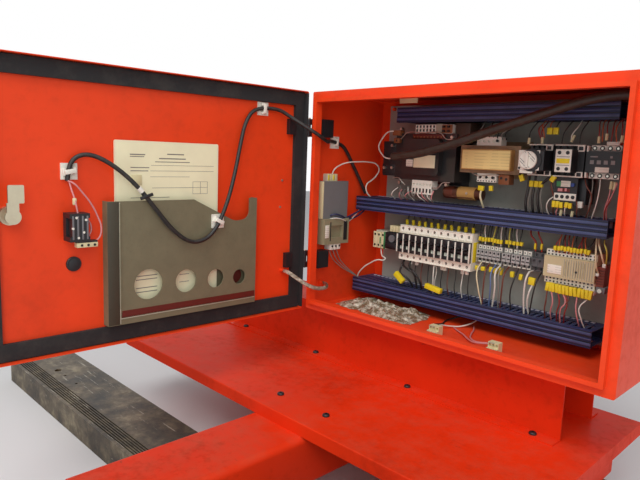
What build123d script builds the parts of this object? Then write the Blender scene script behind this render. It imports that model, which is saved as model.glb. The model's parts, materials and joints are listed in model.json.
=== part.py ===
from build123d import *
import os
from math import cos, pi, radians, sin, tan

# A machine control cabinet on its folded console, cover deck, box beams and ground rails.
# All sizes are millimetres. The cabinet frame has its origin at the cabinet's front, left,
# bottom corner, with +X along the front, +Y into the cabinet and +Z up.

# Cabinet shell
CABINET_W = 700.0
CABINET_H = 500.0
CABINET_D = 250.0
SHEET = 1.5
CHANNEL_W = 16.0
RIM_W = 8.0
RIM_RISE = 12.0
RIM_RETURN = 6.0
CORNER_R = 4.0
WALL_HOLE_R = 4.5
WALL_HOLE_INSET = 30.0

# Mounting plate and its studs
PLATE_T = 2.5
PLATE_STANDOFF = 18.0
PLATE_MARGIN_X = 42.0
PLATE_MARGIN_Z = 14.0
STUD_R = 4.0
STUD_COLLAR_R = 9.0
STUD_INSET = 14.0
STUD_INSET_Z = 8.0
STUD_TAIL = 7.0
STUD_HOLE_R = 4.5

# Slotted wiring ducts. The top and middle ones hang from the plate's top, the bottom one stands
# on the plate's lower end.
DUCT_H = 30.0
DUCT_DEPTH = 78.0
DUCT_WALL = 1.5
DUCT_SLOT_PITCH = 12.5
DUCT_SLOT_W = 5.0
DUCT_SLOT_DEPTH = 48.0
DUCT_LIP = 9.0
DUCT_BAND_H = 5.0
DUCT_BAND_RISE = 1.2
DUCT_LINE_H = 2.5
DUCT_LINE_RISE = 0.8
DUCT_COVER_CLEAR = 0.2
DUCT_PLATE_INSET = 14.0
DUCT_SPACING = 210.0
DUCT_LEFT_GAP = 11.0
DUCT_RIGHT_GAP = 90.0
BOTTOM_DUCT_RIGHT_GAP = 98.0
TOP_DUCT_LEFT_GAP = 125.0

# Mounting rails
RAIL_W = 35.0
RAIL_DEPTH = 7.5
RAIL_SHEET = 1.0
RAIL_CREST_W = 25.0
UPPER_RAIL_RISE = 104.0
LOWER_RAIL_DROP = 68.0
UPPER_RAIL_GAPS = (260.0, 66.0)
LOWER_RAIL_GAPS = (48.0, 78.0)

# Upper row of devices. It is set out from the right-hand wall, and its heights from its rail.
MAIN_TRANSFORMER_GAP = 578.0
MAIN_TRANSFORMER_W = 162.0
MAIN_TRANSFORMER_H = 104.0
MAIN_TRANSFORMER_DEPTH = 88.0
MAIN_TRANSFORMER_DROP = 54.0
CONTROL_TRANSFORMER_GAP = 409.0
CONTROL_TRANSFORMER_W = 136.0
CONTROL_TRANSFORMER_H = 57.0
CONTROL_TRANSFORMER_DEPTH = 78.0
CONTROL_TRANSFORMER_DROP = 31.0
CORE_STEP = 0.18
CORE_BACK_STEP = 0.12
COIL_INSET_X = 0.2
COIL_INSET_Z = 0.12
COIL_CORNER_R = 8.0
COIL_TAIL = 6.0
CORE_FOOT_T = 2.0
CORE_FOOT_W = 10.0
CORE_FOOT_INSET = 6.0
STRIP_DEPTH = 22.0
STRIP_H = 19.0
SMALL_STRIP_H = 18.0
STRIP_PITCH = 9.0
SMALL_STRIP_PITCH = 11.0
STRIP_SETBACK = 14.0
SMALL_STRIP_SETBACK = 16.0
CHOKE_INSET = 121.0
CHOKE_L = 92.0
CHOKE_R = 13.0
CHOKE_RISE = 27.0
CHOKE_STANDOFF = 38.0
CHOKE_CORE_INSET = 19.0
CHOKE_CORE_W = 56.0
CHOKE_CORE_DEPTH = 50.0
CHOKE_CORE_BELOW = 10.0
CHOKE_CORE_ABOVE = 8.0
CONTACTOR_H = 60.0
CONTACTOR_DEPTH = 72.0
CONTACTOR_RECESS = 10.0
CONTACTOR_GAP = 0.3
RIGHT_CONTACTOR_GAP = 140.0
RIGHT_CONTACTOR_W = 61.0
MIDDLE_CONTACTOR_W = 58.0
LEFT_CONTACTOR_W = 50.0
CONTACTOR_SPACE = (2.0, 1.0)
TIMER_DEPTH = 36.0
TIMER_BELOW = 20.0
TIMER_ABOVE = 18.0
DIAL_INSET = 21.0
DIAL_R = 17.0
DIAL_T = 5.0
DIAL_GAP = 0.5
DIAL_KNOB_W = 5.0
DIAL_KNOB_L = 26.0
DIAL_KNOB_H = 4.0
DIAL_SHAFT_R = 3.0
DIAL_SHAFT_L = 8.0
AUX_INSET = 16.0
AUX_W = 30.0
AUX_H = 42.0
AUX_DEPTH = 27.0
AUX_WELL_R = 3.2
OVERLOAD_INSET = 5.0
OVERLOAD_W = 43.0
OVERLOAD_H = 49.7
OVERLOAD_DEPTH = 66.0
OVERLOAD_BACK_GAP = 30.5
OVERLOAD_GAP = 0.3
OVERLOAD_WELL_RISE = 14.0
OVERLOAD_WELL_PITCH = 10.0
OVERLOAD_WELL_R = 3.0
RESET_INSET_X = 8.0
RESET_INSET_Z = 13.0
RESET_R = 3.5
RESET_PROUD = 4.0
RESET_TRAVEL = 2.5
RESET_WELL = 11.0

# Circuit breakers and their toggles
BREAKER_COUNT = 11
BREAKER_W = 17.6
BREAKER_GAP = 0.1
BREAKER_H = 82.0
BREAKER_DEPTH = 54.0
BREAKER_NOSE_H = 45.0
BREAKER_NOSE_RISE = 8.0
BREAKER_LEFT = 139.5
BREAKER_SCREW_R = 2.6
TOGGLE_R = 8.5
TOGGLE_W = 12.0
TOGGLE_LEVER_L = 18.0
TOGGLE_LEVER_T = 4.5
TOGGLE_REST = 28.0
TOGGLE_CLEAR = 0.3
TOGGLE_RECESS = 1.5

# Terminals and controller beside the breakers
TERMINAL_GAP = 0.15
EARTH_LEFT = 52.0
EARTH_COUNT = 3
EARTH_W = 12.0
EARTH_H = 44.0
EARTH_DEPTH = 46.0
EARTH_DROP = 5.0
FUSE_LEFT = 92.0
FUSE_W = 42.0
FUSE_BELOW = 18.0
FUSE_ABOVE = 22.0
FUSE_DEPTH = 48.0
FUSE_WELL_R = 9.0
FUSE_WELL_DEPTH = 7.0
TERMINAL_LEFT = 338.0
TERMINAL_W = 9.3
TERMINAL_H = 38.0
TERMINAL_DEPTH = 42.0
TERMINAL_COUNT = 6
PAIR_STEP = 59.5
PAIR_PITCH = 21.0
PAIR_COUNT = 3
WIDE_TERMINAL_STEP = 123.0
WIDE_TERMINAL_W = 12.0
WIDE_TERMINAL_SETBACK = 4.0
CONTROLLER_LEFT = 494.0
CONTROLLER_W = 97.0
CONTROLLER_H = 66.0
CONTROLLER_DEPTH = 56.0
COIL_BLOCK_GAP = 1.0
COIL_BLOCK_W = 14.0
COIL_BLOCK_H = 38.0
COIL_BLOCK_DROP = 7.0
COIL_BLOCK_DEPTH = 50.0
COIL_BLOCK_RIB = 5.0

# Module and relay base on the hinge-side wall, and the two connectors on the floor
MODULE_Y = (22.0, 108.0)
MODULE_DROP = (288.0, 200.0)
MODULE_DEPTH = 20.0
MODULE_CORNER_R = 2.0
MODULE_STRIP_Y = (40.0, 74.0)
MODULE_STRIP_DEPTH = 14.0
MODULE_STRIP_H = 16.0
RELAY_BASE_Y = (22.0, 104.0)
RELAY_BASE_H = 60.0
RELAY_BASE_DEPTH = 30.0
RELAY_WELL_Y = (46.0, 82.0)
RELAY_WELL_INSET = 16.0
RELAY_WELL_DEPTH = 8.0
CONNECTOR_D = 22.0
CONNECTORS = ((312.0, 50.0, 24.0, 19.0), (452.0, 42.0, 22.0, 21.0))
CONNECTOR_STEP = 7.0
CONNECTOR_WELL_R = 2.6

# Door
DOOR_OPEN = 91.3
DOOR_DEPTH = 21.0
DOOR_SHEET = 1.5
DOOR_GAP = 1.0
SEAL_CLEAR = 0.3
SEAL_INSET = 3.0
SEAL_HINGE_W = 24.0
SEAL_FREE_W = 55.0
SEAL_EDGE_W = 29.0

# Door hinges
HINGE_OFFSET = 6.0
HINGE_TOP_INSET = 80.0
HINGE_BOTTOM_INSET = 117.0
HINGE_H = 40.0
KNUCKLE_R = 5.5
KNUCKLE_H = 13.6
KNUCKLE_GAP = 0.2
PIN_R = 3.0
PIN_CLEAR = 0.05
HINGE_LEAF_T = 4.0
HINGE_LEAF_W = 40.0
HINGE_LEAF_SETBACK = 2.0
HINGE_SCREW_R = 3.0
HINGE_SCREW_ROWS = (14.0, 34.0)
HINGE_BLOCK_W = 24.0
HINGE_BLOCK_Y = (10.0, 44.0)
HINGE_NUT_BLOCK_W = 18.0
HINGE_NUT_BLOCK_T = 11.0
HINGE_NUT_BLOCK_MARGIN = 3.0

# Door lock, push button and plug, each placed from the door's free edge and its top
LOCK_INSET = 74.0
LOCK_DROP = 255.5
LOCK_BODY_R = 15.0
LOCK_BODY_DEPTH = 12.0
LOCK_COLLAR_T = 4.0
LOCK_ROTOR_R = 5.0
LOCK_BARREL_R = 9.0
CAM_LENGTH = 50.5
CAM_HEAD_W = 24.0
CAM_HEAD_L = 29.0
CAM_HEAD_SHIFT = -5.0
CAM_NECK_W = 18.0
CAM_HUB_R = 12.0
CAM_T = 3.0
CAM_Y = 8.0
BUTTON_INSET = 175.0
BUTTON_DROP = 277.0
BUTTON_BARREL_R = 11.0
BUTTON_STEM_R = 7.5
BUTTON_HEAD_R = 12.0
BUTTON_HEAD_T = 7.0
BUTTON_COLLAR_T = 6.0
BUTTON_TRAVEL = 5.0
CONTACT_W = 34.0
CONTACT_H = 48.0
CONTACT_DEPTH = 30.0
CONTACT_STANDOFF = 9.0
CONTACT_TAIL_L = 32.0
CONTACT_TAIL_H = 9.0
RUNNING_CLEAR = 0.08
PLUG_INSET = 177.0
PLUG_DROP = 345.0
PLUG_R = 13.0
PLUG_CAP_T = 4.0

# Document pocket and sleeve
POCKET_LEFT = 140.0
POCKET_RIGHT = 470.0
POCKET_BOTTOM = 36.0
POCKET_TOP = 264.0
POCKET_DEPTH = 20.0
POCKET_WALL = 2.0
POCKET_TAB_W = 20.0
POCKET_BACK_DROP = 60.0
POCKET_RIB_INSET = 24.0
POCKET_HOLES = (
    (391.0, 106.0, 29.0),
    (311.0, 103.0, 23.0),
    (242.0, 100.0, 19.0),
    (183.0, 97.0, 15.5),
)
POCKET_SLOT_H = 9.0
POCKET_SLOT_RISE = 17.0
POCKET_SLOT_MARGIN = 17.0
SLEEVE_LEFT = 230.0
SLEEVE_W = 219.0
SLEEVE_TOP = 373.0
SLEEVE_T = 3.0
SLEEVE_CLEAR = 0.3

# Cables, their clips, the earth studs and the gland
DOOR_CABLE_R = 4.0
SUPPLY_CABLE_R = 9.0
STRAP_R = 2.5
CLIP_SIZE = 28.0
CLIP_BASE = 3.0
CLIP_CLEAR = 0.3
SKIN_CLIPS = ((528.0, 184.0), (116.0, 47.0))
POCKET_CLIP = (240.0, 219.0)
WALL_CLIP_Y = 72.0
WALL_CLIP_DROP = 110.0
DOOR_STUD_X = 52.0
DOOR_STUD_Z = 94.0
DOOR_STUD_L = 10.0
WALL_STUD_Y = 44.0
WALL_STUD_Z = 56.0
WALL_STUD_L = 10.0
EARTH_STUD_R = 4.0
EARTH_NUT_R = 7.5
EARTH_NUT_T = 5.0
GLAND_Y = 100.0
GLAND_DROP = 27.0
GLAND_THREAD_R = 12.5
GLAND_THREAD_L = 14.0
GLAND_HEX_R = 17.0
GLAND_NUT_T = 6.0
GLAND_HEAD_T = 9.0
GLAND_DOME_L = 12.0

# Console, deck and beams under the cabinet
CONSOLE_H = 125.0
CONSOLE_SHEET = 3.0
CONSOLE_LEFT = -360.0
CONSOLE_RIGHT = 600.0
CONSOLE_FRONT = 57.0
CONSOLE_BACK = 203.0
CONSOLE_FLANGE = 29.0
CONSOLE_CORNER_CUT = 14.0
CABINET_STUDS_X = (100.0, 500.0)
CABINET_STUD_INSET = 33.0
CABINET_STUD_L = 14.0
CABINET_NUT_R = 7.5
CABINET_NUT_T = 6.5
DECK_LEFT = -420.0
DECK_RIGHT = 672.0
DECK_FRONT = -245.0
DECK_BACK = 260.0
DECK_SHEET = 3.0
DECK_FLANGE = 25.0
BOLT_R = 4.0
BOLT_HEAD_R = 7.0
BOLT_HEAD_H = 4.6
BOLT_TAIL = 6.0
BOLT_HOLE_CLEAR = 0.5
FLANGE_BOLT_FIRST = -283.0
FLANGE_BOLT_PITCH = 280.0
FLANGE_BOLT_COUNT = 4
DECK_BOLT_LEFT = 131.0
DECK_BOLT_RIGHT = 261.0
DECK_BOLT_Y = -187.0
BEAM_W = 150.0
BEAM_H = 100.0
BEAM_WALL = 5.0
BEAM_CORNER_R = 12.0
BEAM_LEFT = 113.0
BEAM_FRONT = -610.0
BEAM_BACK = 250.0
SIDE_BEAM_LEFT = 480.0
SIDE_BEAM_FRONT = -425.0
END_PLATE_T = 4.0
SADDLE_W = 186.0
SADDLE_L = 80.0
SADDLE_FRONT_Y = -228.0
SADDLE_REAR_Y = 120.0
RAIL_H = 60.0
RAIL_HOLE_FROM_FRONT = 71.0
RAIL_HOLE_DEPTH = 25.0
RAIL_HOLES = ((-601.0, 9.0), (-552.0, 3.4), (-480.0, 3.4))
GROUND_RAIL_LEFT = -760.0
GROUND_RAIL_RIGHT = 640.0
GROUND_RAIL_FRONT = -425.0
GROUND_RAIL_W = 160.0
RIB_BAND_FROM = 9.0
RIB_PITCH = 6.0
RIB_COUNT = 6
RIB_GROOVE_W = 3.2
RIB_GROOVE_DEPTH = 5.0
REAR_RAIL_LEFT = -420.0
REAR_RAIL_Y = 150.0
REAR_RAIL_W = 80.0

# Places that follow from the sizes above
PLATE_BACK = CABINET_D - SHEET - PLATE_STANDOFF
PLATE_FACE = PLATE_BACK - PLATE_T
PLATE_TOP = CABINET_H - PLATE_MARGIN_Z
DUCT_LEFT = DUCT_LEFT_GAP + SHEET
DUCT_RIGHT = CABINET_W - DUCT_RIGHT_GAP
LOCK_X = CABINET_W - LOCK_INSET
LOCK_Z = CABINET_H - LOCK_DROP
BUTTON_X = CABINET_W - BUTTON_INSET
BUTTON_Z = CABINET_H - BUTTON_DROP
PLUG_X = CABINET_W - PLUG_INSET
PLUG_Z = CABINET_H - PLUG_DROP
GLAND_Z = CABINET_H - GLAND_DROP
WALL_CLIP_Z = CABINET_H - WALL_CLIP_DROP
TOP_DUCT_Z = PLATE_TOP - DUCT_PLATE_INSET - DUCT_H
BOTTOM_DUCT_Z = PLATE_MARGIN_Z + DUCT_PLATE_INSET
MIDDLE_DUCT_Z = TOP_DUCT_Z - DUCT_SPACING
UPPER_RAIL_Z = MIDDLE_DUCT_Z + DUCT_H + UPPER_RAIL_RISE
LOWER_RAIL_Z = MIDDLE_DUCT_Z - LOWER_RAIL_DROP
RAIL_FACE = PLATE_FACE - RAIL_DEPTH
SKIN_OUT = -(DOOR_GAP + DOOR_DEPTH)
SKIN_IN = SKIN_OUT + DOOR_SHEET
SEAL_FACE = -(RIM_RISE + SEAL_CLEAR)
HINGE_X = -HINGE_OFFSET
HINGE_Y = -HINGE_OFFSET
HINGE_HEIGHTS = (CABINET_H - HINGE_TOP_INSET, HINGE_BOTTOM_INSET)
DECK_TOP = -CONSOLE_H
BEAM_TOP = DECK_TOP - DECK_FLANGE
BEAM_BOTTOM = BEAM_TOP - BEAM_H
FLOOR_Z = BEAM_BOTTOM - RAIL_H
RAIL_CENTRE_Y = GROUND_RAIL_FRONT + GROUND_RAIL_W / 2
HINGE_AXIS = Axis((HINGE_X, HINGE_Y, 0), (0, 0, 1))


def slab(x0, x1, y0, y1, z0, z1):
    """A rectangular block between two corners."""
    middle = Pos((x0 + x1) / 2, (y0 + y1) / 2, (z0 + z1) / 2)
    return middle * Box(x1 - x0, y1 - y0, z1 - z0)


def rod(start, along, length, radius):
    """A cylinder from a point, along X, Y or Z."""
    directions = {"x": (1, 0, 0), "y": (0, 1, 0), "z": (0, 0, 1)}
    plane = Plane(origin=start, z_dir=directions[along])
    return extrude(plane * Circle(radius), amount=length)


def profile_x(points, x0, x1):
    """A closed outline in Y and Z, drawn out along X."""
    return extrude(Plane.YZ.offset(x0) * Polygon(*points, align=None), amount=x1 - x0, dir=(1, 0, 0))


def front_plane(y):
    """A drawing plane at depth y: its X is the row's X, its Y is up, and it faces the viewer."""
    return Plane(origin=(0, y, 0), x_dir=(1, 0, 0), z_dir=(0, -1, 0))


def fuse(first, *others):
    """One solid from pieces that touch."""
    whole = first
    for other in others:
        whole = whole + other
    return whole


def row_of(shape, x, z, pitch, count):
    """A sketch with copies of one shape side by side, centred on a point."""
    return Sketch() + [Pos(x, z) * spot * shape for spot in GridLocations(pitch, 1, count, 1)]


def place(shape):
    """From the cabinet frame to the part's frame, whose origin is under the ground rail."""
    return shape.moved(Location((0, -RAIL_CENTRE_Y, -FLOOR_Z)))


def save(name, *shapes):
    """Writes one sub-part, with each of its pieces as a solid of its own."""
    solids = [place(solid) for shape in shapes for solid in shape.solids()]
    whole = solids[0] if len(solids) == 1 else Compound(solids)
    export_step(whole, os.path.join("parts", name + ".step"))


def swung(shape):
    """A piece of the door, drawn shut, turned to where the open door stands."""
    return shape.rotate(HINGE_AXIS, -DOOR_OPEN)


def save_on_door(name, *shapes):
    save(name, *[swung(shape) for shape in shapes])


# The cabinet's shell, rim and fixings


def frame_ring(outset_in, outset_out, y0, y1):
    """A rectangular ring parallel to the cabinet's front, between two insets from its outside."""
    def rounded(inset):
        return RectangleRounded(
            CABINET_W - 2 * inset, CABINET_H - 2 * inset, max(CORNER_R - inset / 4, 1.5)
        )

    centre = Pos(CABINET_W / 2, CABINET_H / 2)
    outline = centre * (rounded(outset_in) - rounded(outset_out))
    return extrude(front_plane(y1) * outline, amount=y1 - y0)


def stud_places():
    left = PLATE_MARGIN_X + STUD_INSET
    low = PLATE_MARGIN_Z + STUD_INSET_Z
    return [
        (x, z)
        for x in (left, CABINET_W - left)
        for z in (low, CABINET_H - low)
    ]


def cabinet_stud_places():
    """Where studs under the cabinet's floor go through the top of the console."""
    rows = (CONSOLE_FRONT + CABINET_STUD_INSET, CONSOLE_BACK - CABINET_STUD_INSET)
    return [(x, y) for x in CABINET_STUDS_X for y in rows]


def cabinet_shell():
    walls = frame_ring(0, SHEET, 0, CABINET_D)
    half = SHEET / 2
    back = slab(half, CABINET_W - half, CABINET_D - SHEET, CABINET_D, half, CABINET_H - half)
    channel = frame_ring(0, CHANNEL_W + SHEET, 0, SHEET)
    rim_side = frame_ring(CHANNEL_W, CHANNEL_W + SHEET, -RIM_RISE, SHEET)
    rim_face = frame_ring(CHANNEL_W, CHANNEL_W + RIM_W, -RIM_RISE, -RIM_RISE + SHEET)
    rim_inner = frame_ring(CHANNEL_W + RIM_W - SHEET, CHANNEL_W + RIM_W, -RIM_RISE, RIM_RETURN)
    shell = fuse(walls, back, channel, rim_side, rim_face, rim_inner)
    for x, z in stud_places():
        collar = rod((x, PLATE_BACK, z), "y", CABINET_D - SHEET / 2 - PLATE_BACK, STUD_COLLAR_R)
        shank_front = PLATE_FACE - STUD_TAIL
        shell = fuse(shell, collar, rod((x, shank_front, z), "y", PLATE_BACK + 1 - shank_front, STUD_R))
    for x in (WALL_HOLE_INSET, CABINET_W - WALL_HOLE_INSET):
        for z in (WALL_HOLE_INSET, CABINET_H - WALL_HOLE_INSET):
            shell = shell - rod((x, CABINET_D - 2 * SHEET, z), "y", 3 * SHEET, WALL_HOLE_R)
    for x, y in cabinet_stud_places():
        shell = shell + rod((x, y, -CABINET_STUD_L), "z", CABINET_STUD_L + SHEET / 2, BOLT_R)
    for z in HINGE_HEIGHTS:
        for y in HINGE_SCREW_ROWS:
            shell = shell - rod((-SHEET, y, z), "x", 3 * SHEET, HINGE_SCREW_R + RUNNING_CLEAR)
    gland = rod((CABINET_W - 2 * SHEET, GLAND_Y, GLAND_Z), "x", 3 * SHEET, GLAND_THREAD_R + RUNNING_CLEAR)
    stud_plane = Plane(origin=(SHEET / 2, WALL_STUD_Y, WALL_STUD_Z), z_dir=(1, 0, 0))
    earth_stud = extrude(stud_plane * Circle(EARTH_STUD_R), amount=WALL_STUD_L)
    earth_stud = earth_stud + extrude(stud_plane * RegularPolygon(EARTH_NUT_R, 6), amount=EARTH_NUT_T)
    return shell - gland + earth_stud


def mounting_plate():
    plate = slab(
        PLATE_MARGIN_X, CABINET_W - PLATE_MARGIN_X, PLATE_FACE, PLATE_BACK, PLATE_MARGIN_Z, PLATE_TOP
    )
    for x, z in stud_places():
        plate = plate - rod((x, PLATE_FACE - 1, z), "y", PLATE_T + 2, STUD_HOLE_R)
    return plate


# Ducts and rails


def duct_trunk(x0, x1, z0):
    """A slotted trunk, open to the front, with a row of fingers above and below."""
    depth = DUCT_DEPTH - DUCT_WALL - DUCT_COVER_CLEAR
    base = slab(x0, x1, PLATE_FACE - DUCT_WALL, PLATE_FACE, z0, z0 + DUCT_H)
    count = int((x1 - x0 - DUCT_SLOT_PITCH) / DUCT_SLOT_PITCH)
    wall = Pos((x0 + x1) / 2, PLATE_FACE - depth / 2) * Rectangle(x1 - x0, depth)
    slot_y = PLATE_FACE - depth + DUCT_SLOT_DEPTH / 2
    slot = Rectangle(DUCT_SLOT_W, DUCT_SLOT_DEPTH)
    comb = wall - row_of(slot, (x0 + x1) / 2, slot_y, DUCT_SLOT_PITCH, count)
    low = extrude(Plane.XY.offset(z0) * comb, amount=DUCT_WALL)
    high = extrude(Plane.XY.offset(z0 + DUCT_H - DUCT_WALL) * comb, amount=DUCT_WALL)
    return fuse(base, low, high)


def duct_cover(x0, x1, z0):
    """A cap over the trunk's open side: a lip and a raised band above and below, and a line between."""
    front = PLATE_FACE - DUCT_DEPTH
    crest = front - DUCT_BAND_RISE
    out = DUCT_WALL + DUCT_COVER_CLEAR
    low = z0 - out
    high = z0 + DUCT_H + out
    middle = z0 + DUCT_H / 2
    outline = [
        (front + DUCT_LIP, low), (crest, low), (crest, low + DUCT_BAND_H), (front, low + DUCT_BAND_H),
        (front, middle - DUCT_LINE_H / 2), (front - DUCT_LINE_RISE, middle - DUCT_LINE_H / 2),
        (front - DUCT_LINE_RISE, middle + DUCT_LINE_H / 2), (front, middle + DUCT_LINE_H / 2),
        (front, high - DUCT_BAND_H), (crest, high - DUCT_BAND_H), (crest, high), (front + DUCT_LIP, high),
        (front + DUCT_LIP, high - DUCT_WALL), (front + DUCT_WALL, high - DUCT_WALL),
        (front + DUCT_WALL, low + DUCT_WALL), (front + DUCT_LIP, low + DUCT_WALL),
    ]
    return profile_x(outline, x0, x1)


def mounting_rail(x0, x1, z):
    """A top-hat rail, folded from sheet."""
    foot = RAIL_W / 2
    crest = RAIL_CREST_W / 2
    face = PLATE_FACE
    top = face - RAIL_DEPTH
    t = RAIL_SHEET
    half = [
        (top, foot), (top, crest - t), (face - t, crest - t),
    ]
    mirrored = [(y, -h) for y, h in reversed(half)]
    inner = [(y, z + h) for y, h in half + mirrored]
    back = [
        (top + t, z - foot), (top + t, z - crest), (face, z - crest),
        (face, z + crest), (top + t, z + crest), (top + t, z + foot),
    ]
    return profile_x(inner + back, x0, x1)


# Circuit breakers


def breaker_left(index):
    return BREAKER_LEFT + index * BREAKER_W


def toggle_axis():
    """The toggle's turning line: depth and height."""
    nose = RAIL_FACE - BREAKER_DEPTH - BREAKER_NOSE_RISE
    return nose + TOGGLE_R + TOGGLE_RECESS, LOWER_RAIL_Z


def breaker(index):
    """A breaker's housing: terminal shoulders, a raised nose, a rail slot behind, and the toggle's well."""
    x0 = breaker_left(index) + BREAKER_GAP
    x1 = breaker_left(index + 1) - BREAKER_GAP
    back = RAIL_FACE
    shoulder = back - BREAKER_DEPTH
    nose = shoulder - BREAKER_NOSE_RISE
    half = BREAKER_H / 2
    half_nose = BREAKER_NOSE_H / 2
    z = LOWER_RAIL_Z
    outline = [
        (back, z - half), (shoulder, z - half), (shoulder, z - half_nose), (nose, z - half_nose),
        (nose, z + half_nose), (shoulder, z + half_nose), (shoulder, z + half), (back, z + half),
    ]
    body = profile_x(outline, x0, x1)
    axis_y, axis_z = toggle_axis()
    middle = (x0 + x1) / 2
    well_r = TOGGLE_R + TOGGLE_CLEAR
    well_w = TOGGLE_W + 2 * TOGGLE_CLEAR
    well = rod((middle - well_w / 2, axis_y, axis_z), "x", well_w, well_r)
    mouth_h = BREAKER_NOSE_H - 9
    left = middle - well_w / 2
    mouth = slab(left, left + well_w, nose - 1, axis_y - 1, z - mouth_h / 2, z + mouth_h / 2)
    body = body - well - mouth
    for side in (-1, 1):
        screw_z = z + side * (half + half_nose) / 2
        body = body - rod((middle, shoulder - 1, screw_z), "y", 5, BREAKER_SCREW_R)
    return body


def breaker_toggle(index):
    """A toggle: a drum that turns in the well, and its lever, tipped up."""
    axis_y, axis_z = toggle_axis()
    middle = breaker_left(index) + BREAKER_W / 2
    drum = rod((middle - TOGGLE_W / 2, axis_y, axis_z), "x", TOGGLE_W, TOGGLE_R)
    half = TOGGLE_LEVER_T / 2
    outline = [
        (-2, -half - 1), (-TOGGLE_LEVER_L, -half + 0.8), (-TOGGLE_LEVER_L, half - 0.8), (-2, half + 1),
    ]
    lever_w = TOGGLE_W - 2
    lever = profile_x(outline, -lever_w / 2, lever_w / 2)
    lever = Pos(middle, axis_y, axis_z) * Rot(-TOGGLE_REST, 0, 0) * lever
    return drum + lever


# Other devices on the rails


def terminal_row(x0, count, width, height, depth, z):
    """Rail terminals side by side: stepped housings with a wire mouth and a screw well at each end."""
    back = RAIL_FACE
    front = back - depth
    step = depth * 0.22
    half = height / 2
    crest = half * 0.45
    outline = [
        (back, z - half), (front + step, z - half), (front + step, z - crest), (front, z - crest),
        (front, z + crest), (front + step, z + crest), (front + step, z + half), (back, z + half),
    ]
    pieces = []
    for index in range(count):
        left = x0 + index * width
        body = profile_x(outline, left + TERMINAL_GAP, left + width - TERMINAL_GAP)
        middle = left + width / 2
        for side in (-1, 1):
            mouth_z = z + side * (half + crest) / 2
            body = body - rod((middle, front + step - 1, mouth_z), "y", 5, width * 0.26)
        pieces.append(body)
    return pieces


def contactor(x0, width, height, depth):
    """A contactor: a base, a waisted front and four terminal wells above and below."""
    back = RAIL_FACE
    front = back - depth
    z = UPPER_RAIL_Z
    half = height / 2
    strip = height * 0.18
    recess = CONTACTOR_RECESS
    outline = [
        (back, z - half), (front + recess, z - half), (front + recess, z - half + strip),
        (front, z - half + strip), (front, z + half - strip), (front + recess, z + half - strip),
        (front + recess, z + half), (back, z + half),
    ]
    body = profile_x(outline, x0 + CONTACTOR_GAP, x0 + width - CONTACTOR_GAP)
    pitch = (width - 6) / 4
    for side in (-1, 1):
        for index in range(4):
            hole_x = x0 + 3 + (index + 0.5) * pitch
            hole_z = z + side * (half - strip / 2)
            body = body - rod((hole_x, front + recess - 1, hole_z), "y", 6, strip * 0.32)
    return body


def controller(x0, width, height, depth):
    """A controller block: base, raised middle with cooling slits, and two rows of terminal wells."""
    back = RAIL_FACE
    front = back - depth
    z = LOWER_RAIL_Z
    half = height / 2
    strip = height * 0.2
    body = slab(x0, x0 + width, front + 8, back, z - half, z + half)
    body = body + slab(x0, x0 + width, front, front + 9, z - half + strip, z + half - strip)
    pitch = 7.0
    count = int((width - 4) / pitch)
    for side in (-1, 1):
        wells = row_of(Rectangle(4.2, 5.0), x0 + width / 2, z + side * (half - strip / 2), pitch, count)
        body = body - extrude(front_plane(front + 12) * wells, amount=5)
    slits = row_of(Rectangle(1.6, height * 0.42), x0 + width * 0.62, z, 5, 8)
    return body - extrude(front_plane(front + 1.5) * slits, amount=3)


def wound_core(x0, width, depth, z0, height):
    """A laminated core with a flat coil through it, on two folded feet."""
    x1 = x0 + width
    z1 = z0 + height
    front = PLATE_FACE - depth
    core_front = front + depth * CORE_STEP
    core_back = PLATE_FACE - depth * CORE_BACK_STEP
    core = slab(x0, x1, core_front, core_back, z0, z1)
    coil_profile = Pos((x0 + x1) / 2, (z0 + z1) / 2) * RectangleRounded(
        width * (1 - 2 * COIL_INSET_X), height * (1 - 2 * COIL_INSET_Z), COIL_CORNER_R
    )
    coil_back = core_back + COIL_TAIL
    coil = extrude(front_plane(coil_back) * coil_profile, amount=coil_back - front)
    whole = core + coil
    left = x0 + CORE_FOOT_INSET
    right = x1 - CORE_FOOT_INSET
    for side, z in ((-1, z0), (1, z1)):
        low, high = sorted((z, z + side * CORE_FOOT_W))
        tab_low, tab_high = sorted((z, z - side * CORE_FOOT_T))
        foot = slab(left, right, PLATE_FACE - CORE_FOOT_T, PLATE_FACE, low, high)
        leg = slab(left, right, core_back - 1, PLATE_FACE, tab_low, tab_high)
        whole = fuse(whole, foot, leg)
    return whole


def terminal_strip(x0, count, pitch, y_front, z0, height):
    """A moulded strip of screw terminals, with a clamp well for each."""
    width = count * pitch
    strip = slab(x0, x0 + width, y_front, y_front + STRIP_DEPTH, z0, z0 + height)
    wells = row_of(Circle(pitch * 0.28), x0 + width / 2, z0 + height / 2, pitch, count)
    return strip - extrude(front_plane(y_front + 4) * wells, amount=5)


def coil_block(x0, z0):
    """A narrow block of ribbed coils at the controller's right end."""
    front = RAIL_FACE - COIL_BLOCK_DEPTH
    block = slab(x0, x0 + COIL_BLOCK_W, front, RAIL_FACE, z0, z0 + COIL_BLOCK_H)
    groove = COIL_BLOCK_RIB / 2
    for index in range(int(COIL_BLOCK_H / COIL_BLOCK_RIB) - 1):
        low = z0 + (index + 1) * COIL_BLOCK_RIB
        block = block - slab(x0 - 1, x0 + COIL_BLOCK_W + 1, front - 1, front + groove, low, low + groove)
    return block


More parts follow.
